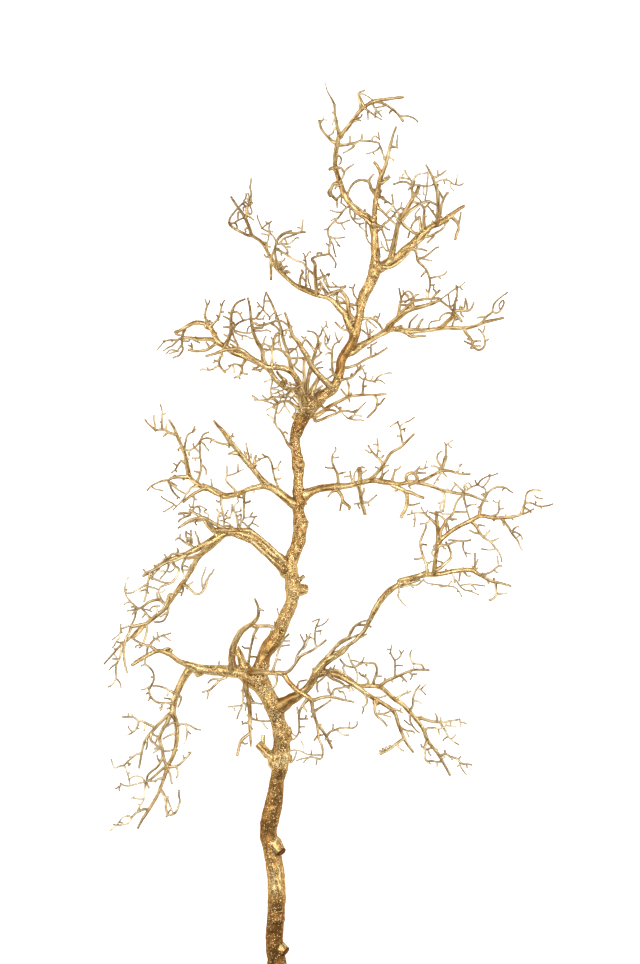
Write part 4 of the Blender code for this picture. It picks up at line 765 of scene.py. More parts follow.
# %% Upper right
PEAK_RIGHT_TWIGS = """
384,267 390,267 396,264 402,259 408,253 413,247 419,242 424,238 427,234 430,230 r1.7 l;
402,220 406,215 410,211 414,208 418,205 422,203 426,202 428,201 433,203 437,205 r1.6 e1.2 j;
413,197 416,193 418,189 419,185 r2.1 b; 413,186 418,185 424,186 430,186 434,184 r1.3 j;
434,184 437,182 441,180 446,180 450,181 453,184 457,185 461,185 464,183 r1.5 e.8;
450,182 451,187 454,191; 445,180 447,178; 444,181 445,184; 456,184 457,178 458,174;
412,182 414,179 416,176 420,174 426,173 429,171 r1; 411,185 406,182 400,182 395,184 393,184 r1.2 b;
412,184 410,179 407,175 405,170 r1; 410,180 404,178 399,177; 405,171 402,176 399,180;
401,177 403,179; 411,186 409,189 408,190; 413,184 415,181; 416,196 418,193 420,195;
417,197 420,200 422,203 r1.8 j; 414,202 418,203 421,204 r1.2 j;
423,230 424,226 424,220 424,215 424,209 421,204 r1.8 j; 421,230 420,222 419,216 r1.4 b;
415,216 418,219 r1; 417,219 413,223 411,228 409,234 408,238 r1; 425,216 427,216; 416,213 420,208;
402,222 405,226 409,229 412,231 414,233 418,233 r1.4 b; 401,208 401,206 402,202 r1;
399,216 401,214 404,211; 392,216 396,217 398,221 r1; 392,217 395,215 397,219 400,222 r1;
395,209 398,212 401,214; 437,220 440,214 441,208 442,203 444,198 446,195 448,193 r1.5 e1;
443,199 441,195 439,191 r1.3 b; 432,178 436,177 440,175 443,173 446,170 r1; 438,176 438,170;
444,198 446,194 447,192 449,193; 428,172 428,178 427,184 427,190 426,195 425,200 r1.2 j;
424,187 424,195 r1; 437,218 434,214 431,210 428,206 r1; 433,213 433,210;
426,207 429,203 432,202 436,205; 440,217 442,217; 432,221 434,222; 437,188 438,184;
448,218 447,215; 450,214 452,213; 453,218 456,221 458,224 459,228 457,233 455,240 r1.3 e1.5 b;
459,224 460,218 461,212; 424,237 430,236 436,233 441,230 444,227 446,223 449,221 r1.6 l;
434,236 430,240 427,243 r1; 438,226 441,225; 409,248 415,249 421,249 427,251 r1.1; 417,247 418,245;
418,259 422,258 426,256 431,252 436,248 439,247 r1; 423,259 428,260 432,261;
427,270 424,273 421,277; 430,278 435,277 440,276 445,274 447,271 r1; 439,276 441,279;
430,285 434,285 435,284; 434,285 434,288;
"""

# %% [markdown]
# Right of the crown a limb slopes down to the table, where it ends in a claw and a curled ring.

# %% Right of the crown
CROWN_RIGHT_TWIGS = """
399,315 403,311 407,307 411,303 414,301 420,300 426,299 432,299 438,298 441,300 r1.5 j;
388,326 393,321 398,316 399,310 400,303 401,299 400,293 399,288 r1.8 e.9;
440,300 445,304 449,307 452,310 454,313 r1.6 j; 457,288 452,291 448,294 444,297 441,299 r1.2 j;
449,294 449,300 450,306 r1 j; 457,288 461,286 465,282; 460,286 463,290; 457,289 456,285;
451,307 454,304 458,300; 456,311 461,310 466,311 470,310 472,307 474,302 r1.2;
467,310 467,304 465,298 r1; 460,306 464,308 465,302 466,299; 462,310 461,314 464,317;
456,315 459,318 462,322 r1.3 b; 455,320 458,319; 455,318 453,323 452,327 r1 j;
453,313.5 447,313 442,315.5 440,318 r.9; 440,320 435,321 431,322 429,325 429,329 r1.3 j;
413,308 412,303 412,300 r1.5 b; 414,300 413,296 411,293 408,291 405,293 402,297 401,300 r1.1 j;
403,295 403,290; 413,297 416,295 419,294; 401,302 406,301 411,299 r1 j;
401,305 406,305 410,304 r1 j; 406,295 408,298 411,300; 408,294 408,298; 405,303 408,300 412,298;
432,299 434,296 437,293 440,290 r1.3 b; 436,293 433,289; 431,302 428,306 r1.2; 427,299 428,294
427,291 426,289 r1; 409,329 410,323 412,320 415,317 418,314 r1;
417,329 419,325 421,321 423,319 r1.2; 402,330 406,333 410,336 414,337 r1.3 b;
413,337 419,336 426,336 r1.4 b; 414,337 413,333; 398,327 404,329 410,329 418,329 424,330 r1.2 l;
401,325 403,328;
463,328 467,334 470,338 472,341 473,345 475,348 478,350 482,349 485,345 485,341 484,336 482,333
480,330 478,329 r1.4 e.8 z27-13; 483,333 484,330 485,326; 485,341 489,339; 472,345 468,343 464,341;
473,342 477,341 481,341; 471,339 467,339; 470,348 474,348; 476,346 481,346;
492,312 496,313 499,312 502,308 504,303 503,300 501,302 499,305 500,309 r1.1;
486,316 481,317 477,318; 362,330 366,333 370,336 r1; 369,330 371,333 374,330; 370,329 370,334 r1;
"""

# %% [markdown]
# ## From the drawing to smooth lines
# A few given points make a polygon, and wood bends in curves. A Catmull-Rom curve passes through
# every point that was drawn, which a Bezier or B-spline doesn't do without extra handles.

# %% Reading the drawing
CURVE_STEPS = 12


def numbers(text):
    """The numbers in a text, as one row."""
    return np.array([float(word) for word in text.split()])


def places(text):
    """The x,y pairs in a text, one to a row."""
    return np.array([[float(word) for word in pair.split(",")] for pair in text.split()])


def spread(values, count):
    """Stretches a short row of values evenly to this many."""
    return np.interp(np.linspace(0, 1, count), np.linspace(0, 1, len(values)), values)


def way_along(rows):
    """How far each row is from the first, along the line through all of them."""
    legs = np.linalg.norm(np.diff(rows[:, :3], axis=0), axis=1)
    return np.concatenate(([0], np.cumsum(legs)))


def smooth(rows, step):
    """Even rows along the Catmull-Rom curve: a cubic between each two points that leaves every point
    in the direction from the point before it to the point after it."""
    ends = np.vstack((2 * rows[0] - rows[1], rows, 2 * rows[-1] - rows[-2]))
    a, b, c, d = (ends[i:len(ends) - 3 + i, None] for i in range(4))
    t = np.linspace(0, 1, CURVE_STEPS, endpoint=False)[None, :, None]
    cubed = (3 * b - a - 3 * c + d) * t**3
    fine = (2 * b + (c - a) * t + (2 * a - 5 * b + 4 * c - d) * t**2 + cubed) / 2
    fine = np.vstack((fine.reshape(-1, rows.shape[1]), rows[-1]))
    far = way_along(fine)
    stops = np.linspace(0, far[-1], max(3, round(far[-1] / step) + 1))
    return np.column_stack([np.interp(stops, far, column) for column in fine.T])


# %% [markdown]
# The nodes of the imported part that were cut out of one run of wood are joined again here, so that no
# seam shows between them. A limb that starts on another begins on its axis, inside the bark, and one
# that carries on from another begins inside its end. The stem measures fuller in the photograph
# than it was drawn, so every drawn radius is scaled by the same share. A few limbs are drawn thinner
# than their solids, and one takes a lower way to its root.

# %% Runs of wood
PIECES = {
    "stem": ("trunk_foot+trunk_bend+trunk_middle+trunk_upper+crown_stem+crown_fork+leader_base",
             STEM_TWIGS),
    "low_left": ("low_left_limb+low_left_hook low_left_rise low_left_outer low_left_curl",
                 LOW_LEFT_TWIGS),
    "front": ("front_limb front_hanger front_limb_rise", FRONT_TWIGS),
    "right": ("right_limb+right_limb_reach right_limb_spire right_limb_claw", RIGHT_TWIGS),
    "low_right": ("low_right_limb low_right_foot low_right_fork", LOW_RIGHT_TWIGS),
    "mid_right": ("mid_right_limb mid_right_fork mid_right_spur", MID_RIGHT_TWIGS),
    "mid_left": ("mid_left_limb+mid_left_upper mid_left_drape mid_left_fan", MID_LEFT_TWIGS),
    "high_left": ("high_left_limb+high_left_prong high_left_spear", HIGH_LEFT_TWIGS),
    "creeper": ("creeper", CREEPER_TWIGS),
    "crown_left": ("crown_left_limb crown_left_over crown_left_far crown_left_spire"
                   " crown_left_spike", CROWN_LEFT_TWIGS),
    "inner": ("inner_spike inner_spire inner_arch inner_fork crown_right_low", INNER_TWIGS),
    "peak_left": ("peak_left_limb+peak_left_tip peak_left_spray peak_left_post", PEAK_LEFT_TWIGS),
    "leaders": ("leader_left leader_left_arm leader_left_droop leader_right", LEADER_TWIGS),
    "peak_right": ("peak_right_limb peak_right_spire peak_right_mast peak_right_hanger",
                   PEAK_RIGHT_TWIGS),
    "crown_right": ("crown_right_limb crown_right_rise crown_right_crest crown_right_claw",
                    CROWN_RIGHT_TWIGS),
}
FINE = 1.0
FULLER = 1.07
TUCKED = 0.9


def drawn_rows(route, heights, radii):
    """Rows of x and y on the sheet, height and radius, one for each point of the route."""
    count = len(route)
    return np.column_stack((route, spread(heights, count), FULLER * spread(radii, count)))


def nearest(rows, place):
    """The row that is closest to the place, on the sheet."""
    return rows[np.argmin(np.linalg.norm(rows[:, :2] - place[:2], axis=1))]


drawn = {name: drawn_rows(places(route), numbers(heights), numbers(radii))
         for name, start, radii, heights, route in LIMBS}
starts = {name: start.split() for name, start, *_ in LIMBS}


def run_of(names):
    """The joined rows of a run of limbs, and the radius of the wood that it grows from."""
    rows = np.vstack([drawn[names[0]]] + [drawn[name][1:] for name in names[1:]])
    how, other = starts[names[0]] or ("", "")
    parent = 0.0
    if how == "on":
        root = nearest(smooth(drawn[other], FINE), rows[0])
        rows[0, :3] = root[:3]
        parent = root[3]
    if how == "after":
        rows = np.vstack((drawn[other][-2], rows))
        rows[0, 3] *= TUCKED
    return smooth(rows, FINE), parent


runs = {piece: [run_of(run.split("+")) for run in limbs.split()]
        for piece, (limbs, twigs) in PIECES.items()}
print("runs of wood:", sum(len(parts) for parts in runs.values()))

# %% [markdown]
# ## Growing the twigs
# The drawing of a twig says where it runs across the sheet, but not how high. On a real branch the
# buds sit in a spiral, each turned by about 137.5 degrees from the one before, so one twig rises
# steeply and the next leans down. The same turn gives each twig its height here. A twig starts on the
# axis of the nearest wood of its own limb, so twigs that fork off twigs wait until those have grown.

# %% Reading twigs and finding their roots
AXIS_PULL = 0.15


def read_twigs(text):
    """Each twig's points on the sheet, and its marks by their letter."""
    twigs = []
    for entry in text.split(";"):
        words = entry.split()
        points = " ".join(word for word in words if "," in word)
        marks = {word[0]: word[1:] for word in words if "," not in word}
        if points:
            twigs.append((places(points), marks))
    return twigs


def root_for(point, wood):
    """The row of wood that a twig at this point grows from, and how far outside the bark it is. Of
    two limbs that both cover the point, the one whose axis is closer counts."""
    away = np.linalg.norm(wood[:, :2] - point, axis=1)
    outside = np.maximum(away - wood[:, 3], 0)
    row = np.argmin(outside + AXIS_PULL * away)
    return wood[row], outside[row]


# %% The height of a twig
GOLDEN_TURN = math.radians(137.5)
LEAN = 0.42
SWAY = 0.03
BOW = 0.3
FLOOR_GAP = 0.3
CEILING = 141.0
ON_TOP = 0.92


def twig_heights(points, radii, marks, root, wood, number):
    """A height for each point: an even rise that turns with the twig's number, held between the
    floor and the ceiling. Marked twigs end at the height of the wood there, or lie on it."""
    far = way_along(points)
    share = far / far[-1]
    rise = LEAN * far[-1] * math.sin(GOLDEN_TURN * number)
    bow = BOW * rise
    if root[2] + rise < radii[-1] + FLOOR_GAP:
        rise = -rise
    heights = root[2] + rise * share**0.9 + SWAY * far[-1] * np.sin(math.tau * share)
    if "z" in marks:
        low, high = (float(word) for word in marks["z"].split("-"))
        heights = low + (high - low) * share
    if "j" in marks:
        end = root_for(points[-1], wood)[0][2]
        heights = root[2] + (end - root[2]) * share + bow * np.sin(math.pi * share)
    if "l" in marks:
        under = np.array([nearest(wood, point) for point in points])
        gap = np.linalg.norm(under[:, :2] - points, axis=1)
        heights = under[:, 2] + ON_TOP * np.sqrt(np.maximum(under[:, 3]**2 - gap**2, 0))
    return np.clip(heights, radii + FLOOR_GAP, CEILING)


# %% Growing them on
ROOT_GAP = 1.2
BEND = 0.07
TWIG_FULLER = 1.29
TWIG_RADIUS = 0.84
LONG_TWIG = 50
LEAST_RADIUS = 0.98
REACHES = (1.5, 3, 5, 8, 12, 18)
TURN_ROUND = 3


def grow(points, marks, root, wood, number):
    """A twig's rows, from the axis of the wood it grows on to its tip. A longer twig is thicker, and
    one drawn with only a tip gets a bend of its own."""
    rooted = np.linalg.norm(points[0] - root[:2]) <= ROOT_GAP
    points = np.vstack((root[:2], points[1:] if rooted else points))
    if len(points) == 2:
        along = points[1] - points[0]
        side = np.array([-along[1], along[0]]) * BEND * (-1)**number
        points = np.vstack((points[0], points[0] + along * 0.55 + side, points[1]))
    length = min(way_along(points)[-1], LONG_TWIG)
    thick = TWIG_FULLER * float(marks.get("r") or TWIG_RADIUS + 0.010 * length)
    most = root[3] * (1.0 if "b" in marks or "l" in marks else 0.9)
    thick = max(LEAST_RADIUS, min(thick, most))
    thin = float(marks.get("e") or (0.85 * thick if "b" in marks else 0.45 * thick + 0.34))
    radii = np.linspace(thick, min(thin, thick * 1.6), len(points))
    heights = twig_heights(points, radii, marks, root, wood, number)
    return np.column_stack((points, heights, radii))


def grow_all(piece, twigs):
    """Grows a limb's twigs onto it, the nearest first, and returns the rows of each. A twig that was
    drawn tip first is turned round."""
    wood = np.vstack([rows for rows, parent in runs[piece]])
    grown = []
    waiting = list(enumerate(twigs))
    for reach in REACHES:
        before = None
        while before != len(waiting):
            before = len(waiting)
            for number, (points, marks) in list(waiting):
                root, outside = root_for(points[0], wood)
                other_root, other_outside = root_for(points[-1], wood)
                if other_outside + TURN_ROUND < outside:
                    points, root, outside = points[::-1], other_root, other_outside
                if outside > reach:
                    continue
                rows = grow(points, marks, root, wood, number)
                grown.append((rows, root[3], marks))
                wood = np.vstack((wood, smooth(rows, FINE)))
                waiting = [one for one in waiting if one[0] != number]
    for number, (points, marks) in waiting:
        print("not grown on", piece, points[0], points[-1])
    return grown


twigs = {piece: grow_all(piece, read_twigs(text)) for piece, (limbs, text) in PIECES.items()}
print("twigs grown:", {piece: len(grown) for piece, grown in twigs.items()})

# %% [markdown]
# ## Lifting the drawing off the sheet
# Seen from a few metres above, wood that stands higher looks a little larger and further out. The
# drawing is true for what lies 60 mm over the floor, so a point that is higher is drawn in towards
# the middle by its share of the way up to the eye.

# %% From the sheet to the part
MM = 0.001
SHEET_MIDDLE = np.array([320.0, 482.0])
SHEET_HEIGHT = 60.0
EYE_HEIGHT = 3615.0
ORIGIN = np.array([325.3, 542.7])


def lifted(rows):
    """Rows of x to the right, y towards the tips, z up and radius, in the part's millimetres."""
    closer = 1 - (rows[:, 2] - SHEET_HEIGHT) / EYE_HEIGHT
    across = SHEET_MIDDLE + (rows[:, :2] - SHEET_MIDDLE) * closer[:, None] - ORIGIN
    return np.column_stack((across[:, 0], -across[:, 1], rows[:, 2:]))


# %% [markdown]
# ## Bark
# Manzanita bark is smooth, but under it the wood runs in lengthwise strands, twists, and swells where
# a shoot leaves it. Paint and glitter lie on that in lumps and grains. A sculpted mesh could hold all
# this, but it would be one of a kind; here the radius of the tube is a sum of plain waves and of
# random bumps at a few sizes, and so every limb gets its own bark from the same few lines.

# %% Random bumps
def bumps(points, size, seed):
    """Smooth random values from -1 to 1: every corner of a lattice of cubes of this size holds a
    random value, and a point takes the eased blend of the eight round it."""
    spot = points / size
    corner = np.floor(spot).astype(np.int64)
    part = spot - corner
    part = part * part * (3 - 2 * part)
    total = np.zeros(points.shape[:-1])
    for step in np.ndindex(2, 2, 2):
        cell = corner + step
        mixed = cell[..., 0] * 73856093 ^ cell[..., 1] * 19349663 ^ cell[..., 2] * 83492791
        mixed = (mixed + seed * 26544357) & 0x7FFFFFFF
        mixed = (mixed ^ (mixed >> 13)) * 1274126177 & 0x7FFFFFFF
        value = ((mixed ^ (mixed >> 16)) & 0xFFFF) / 32767.5 - 1
        total += value * np.prod(np.where(step, part, 1 - part), axis=-1)
    return total


# %% [markdown]
# A limb is first a plain round skin of rings. It leaves its parent with a flared root, like the foot
# of a tree, and the parent swells round it. Without the flare the limbs look like pipes pushed into
# a pipe.

# %% Flares and swellings
FLARE = 0.45
SWELLING = 0.16


def flare(rows, parent):
    """Widens the root: the added radius fades out as one over e to the way outside the parent."""
    size = rows[0, 3]
    outside = np.maximum(way_along(rows) - 0.8 * parent, 0)
    wider = rows[:, 3] + FLARE * size * np.exp(-outside / (1.1 * size + 0.3))
    rows = rows.copy()
    rows[:, 3] = np.maximum(rows[:, 3], np.minimum(wider, 0.95 * parent))
    return rows


def swell(rows, roots):
    """Adds to the radius near each root a bell curve about as wide as the root is thick."""
    added = np.zeros(len(rows))
    for x, y, z, radius in roots:
        away = np.linalg.norm(rows[:, :3] - (x, y, z), axis=1)
        added = np.maximum(added, SWELLING * radius * np.exp(-(away / (1.4 * radius + 0.6))**2))
    rows[:, 3] += added
    return rows


# %% A round skin
SAWN_TIP = ((0.10, 0.93), (0.16, 0.80))
ROUND_TIP = ((0.35, 0.90), (0.62, 0.62))


def tip_rows(rows, blunt):
    """Closes the tip with two rings more: a sawn one has a small worn edge, and the others are
    nearly round. Each ring is given as its way out and its width, in radii of the tip."""
    along = rows[-1, :3] - rows[-2, :3]
    along /= np.linalg.norm(along)
    size = rows[-1, 3]
    extra = [np.append(rows[-1, :3] + along * size * out, size * wide)
             for out, wide in (SAWN_TIP if blunt else ROUND_TIP)]
    return np.vstack((rows, extra))


def round_skin(sheet_rows, sides, blunt):
    """The plain round skin of a line. The point at angle a of a ring is the centre plus the radius
    times (cos a across + sin a up), where across is level and up is square to it and to the line."""
    rows = tip_rows(lifted(sheet_rows), blunt)
    along = np.gradient(rows[:, :3], axis=0)
    along /= np.linalg.norm(along, axis=1)[:, None]
    across = np.cross((0.0, 0.0, 1.0), along)
    across /= np.linalg.norm(across, axis=1)[:, None]
    upward = np.cross(along, across)
    angle = np.linspace(0, math.tau, sides, endpoint=False)[None, :]
    out = np.cos(angle)[..., None] * across[:, None] + np.sin(angle)[..., None] * upward[:, None]
    radius = np.repeat(rows[:, 3:4], sides, axis=1)
    centre = rows[:, None, :3]
    down = np.append(sheet_rows[:, 1], [sheet_rows[-1, 1]] * 2)
    return SimpleNamespace(
        centre=centre, out=out, angle=angle, radius=radius, points=centre + radius[..., None] * out,
        far=way_along(rows)[:, None], down=np.repeat(down[:, None], sides, axis=1))


def in_the_grain(skin, girth, pace, seed):
    """A place for each point in the wood's own grain: round the ring by its angle, and along the
    limb at this pace, so that a pattern made there is drawn out lengthwise."""
    along = np.repeat(skin.far * pace, skin.angle.shape[1], axis=1) + seed
    return np.stack((girth * np.cos(skin.angle), girth * np.sin(skin.angle), along), axis=-1)


# %% [markdown]
# ## Where the finish changes
# The finish changes along the stem: bare bronze paint at the foot, one brushed patch, and then
# collars where the glitter lies thick, with satin orange-brown between them. Each row of this list
# gives a place down the sheet, how much of the bark the glitter covers, and how pale the paint is.

# %% The finish along the stem
STEM_FINISH = np.array([
    (0, 0.50, 0.56), (260, 0.60, 0.56), (300, 0.75, 0.57), (326, 0.70, 0.50), (338, 0.15, 0.42),
    (376, 0.10, 0.36), (386, 0.90, 0.50), (404, 0.90, 0.50), (414, 0.35, 0.36), (428, 0.30, 0.22),
    (436, 0.65, 0.27), (455, 0.75, 0.30), (488, 0.70, 0.29), (498, 0.40, 0.32), (512, 0.50, 0.34),
    (524, 0.75, 0.39), (540, 0.60, 0.38), (552, 0.65, 0.48), (560, 0.75, 0.58), (568, 0.85, 0.50),
    (600, 0.90, 0.50), (622, 0.80, 0.48), (632, 0.25, 0.46), (655, 0.25, 0.44), (664, 0.95, 0.50),
    (692, 0.95, 0.48), (704, 0.75, 0.42), (730, 0.80, 0.42), (748, 0.60, 0.44), (752, 0.95, 0.70),
    (762, 0.90, 0.70), (768, 0.45, 0.36), (776, 0.35, 0.32), (800, 0.25, 0.30), (832, 0.18, 0.30),
    (846, 0.35, 0.34), (862, 0.50, 0.40), (870, 0.45, 0.60), (890, 0.45, 0.58), (899, 0.25, 0.32),
    (916, 0.10, 0.22), (934, 0.12, 0.16), (1000, 0.10, 0.13),
])
BRUSHED = (862, 870, 888, 896)
BRUSH_MARKS = 0.42


def stem_finish(skin, brushed):
    """Glitter and paleness read off the list, with soft random patches, and the brush marks."""
    place, covers, pales = STEM_FINISH.T
    cover = np.interp(skin.down, place, covers) + 0.12 * bumps(skin.points, 22.0, 5)
    pale = np.interp(skin.down, place, pales) + 0.05 * bumps(skin.points, 9.0, 6)
    nowhere = np.zeros_like(pale)
    return cover, pale + BRUSH_MARKS * brushed, nowhere, nowhere


# %% [markdown]
# On the limbs the tone is palest on top and darker down the flanks and underneath, most on thin wood:
# painted shade, as for light from above. It also darkens towards the tips. The thinnest wood got so
# little paint that dry grey wood shows through, so it is barer and duller, least of all in the middle
# of the branch. The roots of a few limbs are satin: darker, smoother, and nearly free of glitter.

# %% The finish of the limbs
# Painted shade: how much darker the flanks and underside of a limb are made than its top.
PAINTED_FLANK_SHADE = 0.15
TIP_SHADE = 0.14
# Painted shade: the tone of a stub's sawn end, made nearly black like the inside of a hollow.
PAINTED_HOLLOW_SHADE = 0.02


def limb_finish(skin, marks, satin):
    """Glitter, paleness, bareness and dullness, each from the radius, the place down the sheet, and
    random patches of a few sizes. The painted shade is one less the sine of the angle, so none on
    top and most underneath, as lit from above; the third power of the way along is added to it."""
    cover = 0.42 + 0.30 * bumps(skin.points, 22.0, 5)
    cover = cover * np.interp(skin.radius, (1.0, 3.0), (0.4, 1.0)) - 2 * satin
    pale = np.interp(skin.radius, (0.8, 2.5, 5.0), (0.66, 0.73, 0.66))
    # Paler in the crown core: partly the paint's own tone there, partly painted light that lifts the
    # shade among the crowded limbs.
    pale += np.interp(skin.down, (160, 300, 350, 420, 480), (0.0, -0.03, 0.07, 0.07, 0.03))
    pale += 0.14 * bumps(skin.points, 31.0, 7) + 0.14 * bumps(skin.points, 9.0, 6)
    # Painted shade down the flanks and underneath, for light from above, and a darkening towards the
    # tips.
    shade = PAINTED_FLANK_SHADE * (1 - np.sin(skin.angle)) + TIP_SHADE * (skin.far / skin.far[-1])**3
    pale -= np.interp(skin.radius, (1.5, 4.0), (1.0, 0.3)) * shade + satin
    pale -= float(marks.get("s") or 0)
    # Painted shade: the sawn end of a stub is made nearly black and bare of glitter, as the inside of a
    # hollow.
    if "d" in marks:
        pale[-3:] = PAINTED_HOLLOW_SHADE
        cover[-3:] = 0.0
    bare = np.interp(skin.radius, (1.0, 2.3), (1.0, 0.0))
    bare *= np.interp(skin.down, (150, 300, 430, 560), (0.75, 0.45, 0.3, 0.75))
    dull = np.interp(skin.radius, (1.1, 2.8), (1.0, 0.0))
    return cover, pale, bare, dull


# %% [markdown]
# ## One tube of bark
# The skin gets its bark last, because thick glitter also makes it rougher. Thin wood keeps only a
# little of the strands and lumps, so that a twig doesn't look like a string of beads.

# %% Bark round a line
STRANDS = ((2, 0, 0.045), (3, 1, 0.030), (7, 0, 0.020))
SATIN_LENGTH = 40
BARK_FLOOR = 0.15


def tube(sheet_rows, sides, seed, marks, on_stem, root_shade=0.0):
    """The grid of bark points round a line, the way of its grain, and its finish. The radius is that
    of the round skin, times one plus strands (waves that twist round the limb) and lumps, plus fine
    grains. A satin root has hardly any strands."""
    skin = round_skin(sheet_rows, sides, "b" in marks)
    satin = np.exp(-(skin.far / SATIN_LENGTH)**2) * (root_shade > 0)
    fibre = in_the_grain(skin, skin.radius, 0.4, seed)
    brushed = 0.0
    if on_stem:
        brushed = np.interp(skin.down, BRUSHED, (0, 1, 1, 0)) * bumps(fibre * (1, 1, 0.3), 1.3, 9)
        finish = stem_finish(skin, brushed)
    else:
        finish = limb_finish(skin, marks, root_shade * satin)
    turn = skin.angle + skin.far / (9 + 6 * skin.radius) + seed
    strands = sum(depth * np.cos(count * turn + shift) for count, shift, depth in STRANDS)
    lumps = 0.10 * bumps(skin.points, 11.0, seed) + 0.06 * bumps(skin.points, 4.5, seed + 1)
    grains = (0.05 + 0.16 * finish[0]) * bumps(fibre, 1.4, 3) + 0.10 * brushed
    strong = np.clip((skin.radius - 1.0) / 2.0, 0, 1)
    uneven = strands * (1 - 0.8 * satin) + lumps
    radius = skin.radius * (1 + uneven * (0.35 + 0.65 * strong)) + (0.1 + 0.9 * strong) * grains
    points = skin.centre + radius[..., None] * skin.out
    points[..., 2] = np.maximum(points[..., 2], BARK_FLOOR)
    grain = in_the_grain(skin, skin.radius * (1 - 0.7 * satin), 0.16, seed)
    return points, grain, [np.clip(field, 0, 1) for field in finish]


# %% [markdown]
# Every ring joins the next with four-sided faces, and one flat face closes each end. They are wound
# so that they face outwards: along the ring first, and then along the limb.

# %% One mesh from many tubes
# The tone field carries painted shade on limb flanks and stub hollows, and painted light in the crown
# core.
FIELDS = ("gilt", "tone", "bare", "dull")


def tube_faces(first, rings, sides):
    """The corners of each side face of a tube whose first point has this number, and of its ends."""
    ring, side = np.arange(rings - 1)[:, None], np.arange(sides)[None, :]
    here = first + ring * sides + side
    beside = first + ring * sides + (side + 1) % sides
    quads = np.stack((here, beside, beside + sides, here + sides), axis=-1).reshape(-1, 4)
    root = list(range(first + sides - 1, first - 1, -1))
    tip = list(range(first + (rings - 1) * sides, first + rings * sides))
    return quads.tolist(), [root, tip]


def make_mesh(name, tubes):
    """Puts a list of tubes in one mesh, with their finish as attributes of its points."""
    points, faces, rounded, grains, finish = [], [], [], [], []
    first = 0
    for grid, grain, fields in tubes:
        rings, sides = grid.shape[:2]
        quads, ends = tube_faces(first, rings, sides)
        faces += quads + ends
        rounded += [True] * len(quads) + [False] * len(ends)
        points.append(grid.reshape(-1, 3) * MM)
        grains.append(grain.reshape(-1, 3))
        finish.append(np.stack([field.reshape(-1) for field in fields]))
        first += rings * sides
    mesh = bpy.data.meshes.new(name)
    mesh.from_pydata(np.vstack(points), [], faces)
    mesh.polygons.foreach_set("use_smooth", rounded)
    lengthwise = mesh.attributes.new("grain", "FLOAT_VECTOR", "POINT")
    lengthwise.data.foreach_set("vector", np.vstack(grains).ravel())
    for label, values in zip(FIELDS, np.hstack(finish)):
        field = mesh.attributes.new(label, "FLOAT", "POINT")
        field.data.foreach_set("value", values)
    mesh.update()
    return mesh

# %% [markdown]
# ## Gold paint and glitter
# The real finish is a metallic gold paint, brushed thin so that the brown wood warms it, with glitter
# grains of about a millimetre stuck in it. Each grain is a tiny mirror that faces its own way: some
# catch the light and some the dark. The material gives every grain its own tilt of the surface, so
# the sparkle comes from the lights and moves with them, and is never painted on.

# %% Shader helpers
def plug(tree, value, socket):
    """Feeds a socket from another node's output, or sets it to a plain value."""
    if isinstance(value, bpy.types.NodeSocket):
        tree.links.new(value, socket)
    else:
        socket.default_value = value


def add(tree, kind, feeds=None, **settings):
    """Adds a shader node, sets its options, and feeds each input with a value or another output."""
    made = tree.nodes.new("ShaderNode" + kind)
    for label, value in settings.items():
        setattr(made, label, value)
    for label, value in (feeds or {}).items():
        plug(tree, value, made.inputs[label])
    return made


def ramp(tree, value, stops):
    """A colour ramp through (place, colour) stops."""
    made = add(tree, "ValToRGB", {"Fac": value})
    bands = made.color_ramp.elements
    while len(bands) < len(stops):
        bands.new(0.5)
    for band, (place, colour) in zip(bands, stops):
        band.position = place
        band.color = (*colour, 1)
    return made.outputs["Color"]


def maths(tree, work, *values):
    """One step of arithmetic, such as ADD. MULTIPLY_ADD is the first times the second plus the third."""
    return add(tree, "Math", dict(enumerate(values)), operation=work).outputs[0]


def between(tree, share, one, other):
    """Goes from one number to the other as the share goes from 0 to 1."""
    return maths(tree, "MULTIPLY_ADD", share, other - one, one)


def vectors(tree, work, *values):
    """One step of arithmetic on vectors. SCALE takes a vector and a number."""
    slots = (0, "Scale") if work == "SCALE" else range(len(values))
    return add(tree, "VectorMath", dict(zip(slots, values)), operation=work).outputs[0]


def blend_colours(tree, share, one, other):
    """Goes from one colour to the other as the share goes from 0 to 1."""
    return add(tree, "Mix", {0: share, 6: one, 7: other}, data_type="RGBA").outputs[2]


def noise(tree, place, scale):
    """Smooth random values round one half."""
    return add(tree, "TexNoise", {"Vector": place, "Scale": scale, "Detail": 3}).outputs["Fac"]


def field(tree, label, output="Fac"):
    """What the mesh says at each point, by the label of the attribute."""
    return add(tree, "Attribute", attribute_name=label).outputs[output]


# %% [markdown]
# Both paints are ramps from their darkest tone to their palest. One material reads five attributes
# of the mesh, so it can be brown satin at a root, thick glitter on a collar and dry wood on a twig
# without a seam. Separate materials would have to meet at an edge.

# %% The colours of the paint
PAINT = (
    (0.00, (0.075, 0.034, 0.009)),
    (0.25, (0.178, 0.082, 0.021)),
    (0.50, (0.300, 0.165, 0.050)),
    (0.75, (0.450, 0.300, 0.120)),
    (1.00, (0.620, 0.480, 0.245)),
)
BARE_TWIG = (
    (0.00, (0.055, 0.036, 0.018)),
    (0.35, (0.190, 0.144, 0.080)),
    (0.65, (0.405, 0.340, 0.218)),
    (1.00, (0.650, 0.585, 0.430)),
)
GLITTER = (0.86, 0.66, 0.32, 1)
BROWN_GLOSS = (0.62, 0.42, 0.22, 1)
GRAIN_SCALE = 1400
FULL_COVER = 0.45
GLITTER_TINT = 0.75
STREAK_SCALE = 0.6
STREAKED = 5.0
BLOTCH_SCALE = 90
BLOTCHED = 0.18


